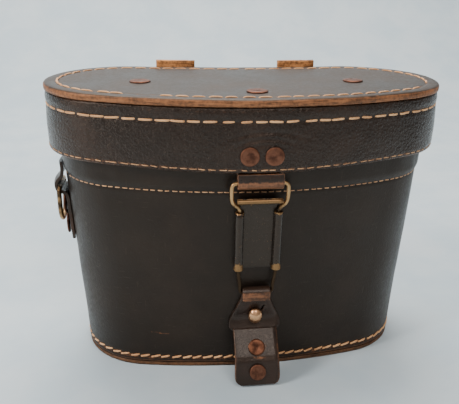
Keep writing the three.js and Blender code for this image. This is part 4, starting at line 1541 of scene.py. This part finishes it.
@dataclass
class SideFittings:
    """The strap's D-ring, hung in a folded chape that is riveted down the wall."""

    shop: Workshop
    body: CaseBody
    width: float = 15 * MM
    thickness: float = 1.6 * MM
    wire: float = 1.1 * MM
    ring_half: float = 10 * MM

    def build(self) -> None:
        """Builds each chape with its rivets and its ring."""
        for side, sign in RING_SIDES.items():
            self.build_chape(side, sign)
            self.build_ring(side, sign)

    def build_chape(self, side: str, sign: int) -> None:
        """One chape: out from the throat seam, down round the ring's bar and back to the wall.

        Args:
            side: The side's name.
            sign: Its sign along x.
        """
        f = self.shop.finishes
        low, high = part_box(f"side_chape_{side}")
        bar = JOINTS[f"{side}_ring_hinge"]
        wall_x = self.body.wall.side
        flat = self.thickness / 2 + 0.15 * MM
        out = abs(bar.x) - wall_x(bar.z)
        swell = self.body.throat_bulge * MM
        points = [(flat + swell, high.z - 0.2 * MM), (flat + swell, bar.z + 8.6 * MM)]
        points += [
            (out * 0.75, bar.z + 5.4 * MM), (out + 1.6 * MM, bar.z + 2.6 * MM), (out + 2.15 * MM, bar.z)
        ]
        points += [
            (out + 1.5 * MM, bar.z - 1.75 * MM),
            (out, bar.z - 2.35 * MM),
            (flat + 0.7 * MM, bar.z - 3.4 * MM),
        ]
        points += [(flat, bar.z - 6 * MM), (flat, bar.z - 14 * MM), (flat, low.z + 0.3 * MM)]
        path = flowing([(sign * (wall_x(z) + n), 0, z) for n, z in points], 0.5 * MM)
        ends = run_length(path)
        widths = self.width - 3 * MM * smooth(ends, ends[-1] - 3.5 * MM, ends[-1]) ** 2
        shape = strip(path, (0, 1, 0), widths, self.thickness, 0.4 * MM)
        y = shape.points[:, 1]
        shape.points[:, 0] -= sign * y**2 / (2 * self.body.wall.foot.radius)
        shape.points[:, 0] += sign * 0.12 * MM * ripple(shape.points, 6 * MM, 50 + sign)
        z = shape.points[:, 2]
        shape = shape.painted("wear", 0.3 * hump(z, bar.z, 5 * MM))
        shape.paint["edge"] *= 0.25
        self.shop.piece(f"chape_{side}", shape, f.strap, "strap_leather", Body.CASE, [f"side_chape_{side}"])
        for k, place in enumerate(("upper", "lower")):
            node = f"side_rivet_{side}_{place}"
            rivet = dented_rivet(node, Vector((sign, 0, 0)), 30 + 3 * k + sign)
            self.shop.piece(
                f"side_copper_{side}_{place}", rivet, f.copper, "rivet_copper", Body.CASE, [node]
            )

    def build_ring(self, side: str, sign: int) -> None:
        """One D-ring: a straight bar with rounded corners and a half-round bow.

        Args:
            side: The side's name.
            sign: Its sign along x.
        """
        node = f"d_ring_{side}"
        bar = JOINTS[f"{side}_ring_hinge"]
        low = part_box(node)[0].z + self.wire
        half = self.ring_half
        shoulder = low + half
        bow = [math.radians(a) for a in range(180, 361, 12)]
        corners = [(half * math.cos(a), shoulder + half * math.sin(a)) for a in bow]
        loop = [(-half, bar.z), *corners, (half, bar.z)]
        path = rounded_loop([(bar.x, y, z) for y, z in loop], 2.2 * MM)
        shape = wire(path, (1, 0, 0), self.wire, 16)
        wear = hump(shape.points[:, 2], low, 6 * MM)
        shape = shape.painted("wear", wear)
        self.shop.piece(f"ring_{side}", shape, self.shop.finishes.brass, "ring_brass", Body(node), [node])


# ------------------------------------------------------------------ hasp, strap and stud


@dataclass
class Hasp:
    """The hasp: a bent wire frame whose sides are wrapped by an enamelled plate."""

    shop: Workshop
    wire: float = 0.9 * MM
    sheet: float = 0.75 * MM
    upper_half: float = 12.3 * MM
    lower_half: float = 8.6 * MM
    foot_half: float = 7.5 * MM
    upper_depth: float = 9 * MM
    tube_top: float = 13.5 * MM
    tube_foot: float = 12.5 * MM
    roll_drop: float = 8 * MM
    roll_half: float = 10 * MM

    def __post_init__(self) -> None:
        """Works out the plane that the hasp hangs in from its two bars."""
        top, foot = JOINTS["hasp_hinge"], JOINTS["strap_fold"]
        hang = foot - top
        self.length = hang.length
        lean = math.atan2(hang.y, -hang.z)
        self.plane = Matrix.Translation(top) @ Matrix.Rotation(lean, 4, "X")

    def build_frame(self) -> None:
        """The wire frame, wide at its shoulders and narrow at its foot."""
        waist, foot = -self.upper_depth, -self.length
        half = [
            (-self.upper_half, 0),
            (-self.upper_half - 0.15 * MM, waist * 0.6),
            (-self.upper_half + 0.4 * MM, waist - 0.6 * MM),
            (-self.lower_half, waist - 2.6 * MM),
            (-self.lower_half, foot + self.tube_foot - 2 * MM),
            (-self.foot_half, foot + 4 * MM),
            (-self.foot_half, foot),
        ]
        loop = [*half, *[(-x, z) for x, z in reversed(half)]]
        path = rounded_loop([(x, 0, z) for x, z in loop], 2.4 * MM)
        shape = wire(path, (0, 1, 0), self.wire, 14)
        z = shape.points[:, 2]
        wear = 1.1 * hump(z, -1 * MM, 12 * MM) - 0.45 * smooth(z, -10 * MM, -16 * MM)
        shape = shape.painted("wear", wear).moved(self.plane)
        self.shop.piece(
            "wire_frame", shape, self.shop.finishes.brass, "frame_brass", Body.HASP, ["hasp_frame"]
        )

    def tube(self, sign: int) -> Shape:
        """One rolled side: the sheet's edge wrapped round the wire, flared at its foot.

        Args:
            sign: The side's sign along x.

        Returns:
            The tube, in the hasp's plane.
        """
        middle = self.wire + 0.28 * MM + self.sheet / 2
        top, foot = -self.tube_top, -self.length + self.tube_foot
        start = math.pi / 2
        turn = start + sign * -1 * np.linspace(0, math.radians(318), 40)
        path = np.stack([middle * np.cos(turn), middle * np.sin(turn), np.zeros(40)], axis=1)
        path[:, 0] += sign * self.lower_half
        path[:, 2] = (top + foot) / 2
        shape = strip(path, (0, 0, 1), top - foot, self.sheet, 0.2 * MM)
        z = shape.points[:, 2]
        flare = 1 + 0.16 * smooth(z, foot + 3 * MM, foot) + 0.05 * smooth(z, top - 1.5 * MM, top)
        flare += 0.03 * ripple(shape.points, 6 * MM, 60 + sign)
        centre = np.array([sign * self.lower_half, 0])
        shape.points[:, :2] = centre + (shape.points[:, :2] - centre) * flare[:, None]
        ridge = smooth(-shape.points[:, 1], 0.6 * MM, 1.9 * MM)
        wear = 0.25 * ridge + 0.95 * smooth(z, foot + 5 * MM, foot) + 0.5 * smooth(z, top - 2 * MM, top)
        return shape.painted("wear", wear)

    def build_plate(self) -> None:
        """The plate: a sheet between two wrapped tubes, its top edge rolled over."""
        middle = self.wire + 0.28 * MM + self.sheet / 2
        top, foot = -self.roll_drop, -self.length + self.tube_foot
        x = np.linspace(-self.lower_half, self.lower_half, 44)
        path = np.stack([x, np.full(44, middle), np.full(44, (top + foot) / 2)], axis=1)
        sheet = strip(path, (0, 0, 1), top - foot, self.sheet, 0.2 * MM)
        dish = 0.35 * MM * ripple(sheet.points, 9 * MM, 70)
        sheet.points[:, 1] += np.minimum(dish, 0)
        z = sheet.points[:, 2]
        corner = hump(sheet.points[:, 0], -self.lower_half + 3 * MM, 6 * MM) * smooth(z, top - 6 * MM, top)
        sheet = sheet.painted("wear", 0.75 * corner + 0.5 * smooth(z, top - 1.5 * MM, top))
        radius = 0.95 * MM
        turn = np.linspace(math.radians(80), math.radians(420), 34)
        spiral = radius * (1 - 0.25 * np.linspace(1, 0, 34))
        roll_y = -middle + 0.2 * MM
        roll_path = np.stack(
            [np.zeros(34), roll_y + spiral * np.cos(turn), top + spiral * np.sin(turn)],
            axis=1,
        )
        roll = strip(roll_path, (1, 0, 0), 2 * self.roll_half, 0.6 * MM, 0.15 * MM)
        roll = roll.painted("wear", 1.0)
        neck_path = flowing(
            [(0, middle, top - 1 * MM), (0, 0.3 * MM, top + 0.3 * MM), (0, roll_y, top + radius)], 0.3 * MM
        )
        neck = strip(neck_path, (1, 0, 0), 2 * self.lower_half, 0.6 * MM, 0.15 * MM).painted("wear", 0.55)
        shape = joined([sheet, roll, neck, self.tube(-1), self.tube(1)]).moved(self.plane)
        self.shop.piece(
            "hasp_cover", shape, self.shop.finishes.paint, "hasp_paint", Body.HASP, ["hasp_plate"]
        )

    def build(self) -> None:
        """Builds the hasp."""
        self.build_frame()
        self.build_plate()


@dataclass
class ClosingStrap:
    """The closing strap: folded round the hasp's lower bar, flared, buttoned and bent outward."""

    shop: Workshop
    body: CaseBody
    thickness: float = 1.8 * MM
    face_thickness: float = 2.2 * MM
    gap: float = 0.3 * MM
    upper_slope: float = math.radians(48)
    lower_slope: float = math.radians(76)
    upper_length: float = 14.5 * MM
    lower_length: float = 12.1 * MM
    pear: float = 0.22

    def __post_init__(self) -> None:
        """Works out the bent tail from the pull tab's CAD box."""
        low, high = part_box("pull_tab")
        self.tab_width = high.x - low.x
        self.top = Vector((0, high.y - self.face_thickness * math.sin(self.upper_slope), high.z))
        self.crease = self.top + self.upper_length * self.down(self.upper_slope)
        self.end = self.crease + self.lower_length * self.down(self.lower_slope)

    @staticmethod
    def down(slope: float) -> Vector:
        """The direction that runs forward and down at a slope."""
        return Vector((0, -math.cos(slope), -math.sin(slope)))

    def inward(self, point: Vector, slope: float, depth: float) -> Vector:
        """A point under the tail's outer face, a depth below it."""
        return point + depth * Vector((0, math.sin(slope), -math.cos(slope)))

    def bent(self, depth: float) -> list[Vector]:
        """A line along the tail, rounded at the crease.

        Args:
            depth: How far it lies under the outer face.

        Returns:
            Its points, from the top down.
        """
        middle = (self.upper_slope + self.lower_slope) / 2
        before = self.crease - 3.2 * MM * self.down(self.upper_slope)
        after = self.crease + 3.2 * MM * self.down(self.lower_slope)
        bend = self.crease.lerp((before + after) / 2, 0.35)
        return [
            self.inward(self.top, self.upper_slope, depth),
            self.inward(before, self.upper_slope, depth),
            self.inward(bend, middle, depth),
            self.inward(after, self.lower_slope, depth),
            self.inward(self.end, self.lower_slope, depth),
        ]

    def build_strap(self) -> None:
        """The strap itself: its fold, its bell with the button hole, and its tail."""
        bar = JOINTS["strap_fold"]
        around = 0.9 * MM + 0.15 * MM + self.thickness / 2
        turns = [math.radians(a) for a in (180, 150, 120, 90, 60, 30, 0)]
        fold = [Vector((0, bar.y + around * math.cos(a), bar.z + around * math.sin(a))) for a in turns]
        flat = self.thickness / 2 + 0.35 * MM
        bell_foot = self.top.z - 1.0 * MM

        def on_wall(z: float) -> Vector:
            """A point of the strap's middle where it lies on the wall, at a height."""
            return Vector((0, self.body.wall.front(z) - flat, z))

        front = [
            Vector((0, bar.y - around + 0.35 * MM, bar.z - 3.6 * MM)),
            Vector((0, bar.y - around, bar.z - 1.6 * MM)),
        ]
        bell = [on_wall(bar.z - 3 * MM), on_wall(bar.z - 9 * MM), on_wall(bell_foot + 3.5 * MM)]
        tail = self.bent(self.face_thickness + self.gap + self.thickness / 2)[1:]
        path = flowing([tuple(p) for p in [*front, *fold, *bell, *tail]], 0.45 * MM)
        along = run_length(path)
        bend_at = int(np.argmin(np.abs(path[:, 2] - bell_foot) + 10 * (along < 0.5 * along[-1]) * 0.01))
        fold_end = along[int(np.argmin(np.linalg.norm(path - np.array(fold[-1]), axis=1)))]
        reach = along[bend_at] - fold_end
        t = (along - fold_end) / reach
        bell_width = 12.8 * MM + 11.4 * MM * np.clip((t - 0.16) / 0.64, 0, 1)
        tail_width = 18 * MM - bell_width
        widths = bell_width + tail_width * smooth(t, 0.93, 1.12)
        shape = strip(path, (1, 0, 0), widths, self.thickness, 0.45 * MM)
        z = shape.points[:, 2]
        on_fold = hump(z, bar.z - 1 * MM, 4 * MM) * (shape.points[:, 1] < bar.y)
        rim = smooth(np.abs(shape.points[:, 0]) / MM, 9.5, 12) * 0.25
        shape = shape.painted("wear", np.maximum(0.95 * on_fold, rim))
        shape.paint["edge"] *= 0.35
        shape.points[:, 1] += 0.12 * MM * ripple(shape.points, 6 * MM, 80)
        nodes = ["closure_strap"]
        made = self.shop.piece("strap", shape, self.shop.finishes.strap, "strap_leather", Body.STRAP, nodes)
        self.cut_hole(made)

    def cut_hole(self, strap: bpy.types.Object) -> None:
        """Cuts the button hole and the slit beside it.

        Args:
            strap: The strap's object, whose mesh is cut.
        """
        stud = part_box("latch_stud")
        middle = (stud[0] + stud[1]) / 2
        hole = lathe([(0, -8 * MM), (2.5 * MM, -8 * MM), (2.5 * MM, 8 * MM), (0, 8 * MM)], 32)
        place = Vector((0, self.body.wall.front(middle.z), middle.z + 0.4 * MM))
        turn = Matrix.Translation(place) @ Matrix.Rotation(math.pi / 2, 4, "X")
        slit = lathe([(0, -8 * MM), (0.35 * MM, -8 * MM), (0.35 * MM, 8 * MM), (0, 8 * MM)], 12)
        slit.points[:, 0] *= 6
        beside = Matrix.Translation(Vector((3.4 * MM, 1.9 * MM, 0)))
        lean = beside @ Matrix.Rotation(math.radians(62), 4, "Z")
        cutter_shape = joined([hole, slit.moved(lean)]).moved(turn)
        mesh = bpy.data.meshes.new("hole_cutter")
        mesh.from_pydata(cutter_shape.points.tolist(), [], cutter_shape.faces)
        cutter = bpy.data.objects.new("hole_cutter", mesh)
        bpy.context.scene.collection.objects.link(cutter)
        cut = strap.modifiers.new("hole", "BOOLEAN")
        cut.object = cutter
        cut.solver = "EXACT"
        cut.use_self = True
        bpy.context.view_layer.update()
        graph = bpy.context.evaluated_depsgraph_get()
        cut_mesh = bpy.data.meshes.new_from_object(strap.evaluated_get(graph))
        strap.modifiers.clear()
        strap.data = cut_mesh
        bpy.data.objects.remove(cutter)

    def build_tab(self) -> None:
        """The pull tab: a worn leather face with rounded corners, riveted over the strap's tail."""
        path = flowing([tuple(p) for p in self.bent(self.face_thickness / 2)], 0.4 * MM)
        along = run_length(path)
        corner = 3.2 * MM
        near_end = np.clip((along - (along[-1] - corner)) / corner, 0, 1)
        widths = self.tab_width - 2 * corner * (1 - np.sqrt(1 - near_end**2 * 0.98)) * 0.8
        widths += 0.5 * MM * hump(along, along[-1] * 0.8, 8 * MM)
        shape = strip(path, (1, 0, 0), widths, self.face_thickness, 0.55 * MM)
        x, z = shape.points[:, 0] / MM, shape.points[:, 2] / MM
        crease = hump(z, self.crease.z / MM + 0.3, 1.3)
        mound = hump(z, self.crease.z / MM + 4.2, 5) * hump(x, 0.5, 8)
        rim = smooth(np.abs(x), self.tab_width / MM / 2 - 1.6, self.tab_width / MM / 2)
        wear = 0.8 * mound + 0.6 * crease * hump(x, 1, 7) + 0.42 * rim
        shape = shape.painted("wear", wear)
        shape.paint["edge"] *= 0.6
        face = shape.paint["face"]
        lift = (0.45 * mound - 0.5 * crease + 0.18 * ripple(shape.points, 5 * MM, 90)) * MM
        out = np.array([0, -math.sin(self.upper_slope), math.cos(self.upper_slope)])
        shape.points += (lift * np.maximum(face, 0.2))[:, None] * out
        self.shop.piece("pull", shape, self.shop.finishes.strap, "pull_leather", Body.STRAP, ["pull_tab"])

    def build_rivets(self) -> None:
        """The tab's two rivets."""
        for k, place in enumerate(("upper", "lower")):
            node = f"pull_rivet_{place}"
            slope = self.upper_slope if k == 0 else self.lower_slope
            outward = Vector((0, -math.sin(slope), math.cos(slope)))
            shape = dented_rivet(node, outward, 40 + 5 * k)
            finish = (self.shop.finishes.rubbed, self.shop.finishes.copper)[k]
            self.shop.piece(f"pull_copper_{place}", shape, finish, "rivet_copper", Body.STRAP, [node])

    def build_stud(self) -> None:
        """The stud that the strap buttons on: a pear-shaped head on a collar."""
        low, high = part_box("latch_stud")
        middle_z = (low.z + high.z) / 2
        wall_y = self.body.wall.front(middle_z)
        tip = wall_y - low.y
        head = (high.x - low.x) / 2
        neck = 1.7 * MM
        profile = [(0, -6.2 * MM), (neck, -6.2 * MM), (neck, 0.3 * tip), (neck * 1.05, 0.40 * tip)]
        profile += [
            (head * 0.86, 0.47 * tip),
            (head, 0.56 * tip),
            (head * 0.99, 0.66 * tip),
            (head * 0.88, 0.78 * tip),
        ]
        profile += [(head * 0.68, 0.88 * tip), (head * 0.4, 0.96 * tip), (head * 0.2, 0.99 * tip), (0, tip)]
        shape = lathe(profile, 40)
        shape.points[:, 1] *= 1 + self.pear * smooth(shape.points[:, 2], 0.42 * tip, 0.6 * tip)
        shape.points += 0.05 * MM * ripple(shape.points, 2.5 * MM, 95)[:, None]
        shape = shape.painted("wear", smooth(shape.points[:, 2], 0.6 * tip, tip))
        facing = Vector((0, -1, -0.06)).to_track_quat("Z", "Y").to_matrix().to_4x4()
        turn = Matrix.Translation(Vector((0, wall_y, middle_z))) @ facing
        self.shop.piece(
            "stud", shape.moved(turn), self.shop.finishes.stud, "stud_brass", Body.CASE, ["latch_stud"]
        )
        frame["nodes"]["stud_washer"].data.materials.clear()
        frame["nodes"]["stud_washer"].data.materials.append(self.shop.finishes.stud)

    def build(self) -> None:
        """Builds the closing strap, its tab and the stud."""
        self.build_strap()
        self.build_tab()
        self.build_rivets()
        self.build_stud()


# ------------------------------------------------------------------ studio


@dataclass(frozen=True)
class Lamp:
    """A soft square light that points at the case."""

    name: str
    place: tuple[float, float, float]
    size: float
    power: float
    colour: tuple[float, float, float] = (1, 1, 1)

    def build(self) -> None:
        """Adds the light."""
        light = bpy.data.lights.new(self.name, "AREA")
        light.shape = "SQUARE"
        light.size = self.size
        light.energy = self.power
        light.color = self.colour
        made = bpy.data.objects.new(self.name, light)
        made.location = self.place
        aim = Vector((0, 0, 0.07)) - Vector(self.place)
        made.rotation_mode = "QUATERNION"
        made.rotation_quaternion = aim.to_track_quat("-Z", "Y")
        bpy.context.scene.collection.objects.link(made)


@dataclass
class Studio:
    """The camera, the pale floor and the lights."""

    azimuth: float = -8.67
    elevation: float = 20.41
    roll: float = 1.3
    distance: float = 0.33214
    target: tuple[float, float, float] = (0.00127, 0.0, 0.07058)
    lens: float = 51.0
    shift: tuple[float, float] = (-0.0363, 0.0017)

    def camera(self) -> None:
        """Places the camera."""
        data = bpy.data.cameras.new("camera")
        data.lens, data.sensor_width = self.lens, 36.0
        data.shift_x, data.shift_y = self.shift
        a, e = math.radians(self.azimuth), math.radians(self.elevation)
        back = Vector((math.sin(a) * math.cos(e), -math.cos(a) * math.cos(e), math.sin(e)))
        made = bpy.data.objects.new("camera", data)
        made.location = Vector(self.target) + self.distance * back
        made.rotation_mode = "QUATERNION"
        roll = Matrix.Rotation(math.radians(self.roll), 3, "Z").to_quaternion()
        made.rotation_quaternion = (-back).to_track_quat("-Z", "Y") @ roll
        data.clip_start, data.clip_end = 0.01, 20
        bpy.context.scene.collection.objects.link(made)
        bpy.context.scene.camera = made

    def floor(self) -> None:
        """A plain pale floor that curves up into a backdrop."""
        depth, rise, width = 1.6, 1.4, 3.2
        profile = [(-1.2, 0.0), (0.45, 0.0)]
        profile += [
            (0.45 + 0.5 * math.sin(t), 0.5 - 0.5 * math.cos(t)) for t in np.linspace(0.15, math.pi / 2, 10)
        ]
        profile += [(0.95, rise), (0.95, depth)]
        rows = np.array([[(-width, y, z), (width, y, z)] for y, z in profile])
        net = woven(rows, False, False)
        mesh = bpy.data.meshes.new("floor")
        mesh.from_pydata(net.points.tolist(), [], net.faces)
        mesh.polygons.foreach_set("use_smooth", [True] * len(mesh.polygons))
        s = Shader("PaleFloor")
        cloth = s.noise(60 * MM, 4, 0.6)
        colour = s.blend(s.ease(cloth, 0.35, 0.65), (0.56, 0.68, 0.76), (0.64, 0.74, 0.80))
        mesh.materials.append(s.finish(colour, 0.85))
        made = bpy.data.objects.new("floor", mesh)
        bpy.context.scene.collection.objects.link(made)

    def lights(self) -> None:
        """Soft window light from above and behind, with a weak fill from the front left."""
        Lamp("overhead", (-0.05, 0.45, 1.15), 0.8, 17, (1.0, 0.93, 0.86)).build()
        Lamp("front_fill", (-0.95, -0.35, 0.7), 0.3, 9, (1.0, 0.94, 0.88)).build()
        Lamp("floor_fill", (0.15, -0.9, 1.1), 0.7, 7, (1.0, 0.96, 0.92)).build()
        world = bpy.data.worlds.new("air")
        world.use_nodes = True
        world.node_tree.nodes["Background"].inputs[0].default_value = (1.0, 0.97, 0.94, 1)
        world.node_tree.nodes["Background"].inputs[1].default_value = 0.30
        bpy.context.scene.world = world

    def build(self) -> None:
        """Builds the studio."""
        self.camera()
        self.floor()
        self.lights()


def main() -> None:
    """Builds the case in order: studio, body, lid, straps, fittings and hasp."""
    logging.basicConfig(level=logging.INFO, format="%(name)s: %(message)s")
    Studio().build()
    shop = Workshop(Finishes())
    body = CaseBody(shop)
    body.build()
    Lid(shop).build()
    HingeStraps(shop, body).build()
    SideFittings(shop, body).build()
    Hasp(shop).build()
    ClosingStrap(shop, body).build()


if __name__ == "__main__":
    main()
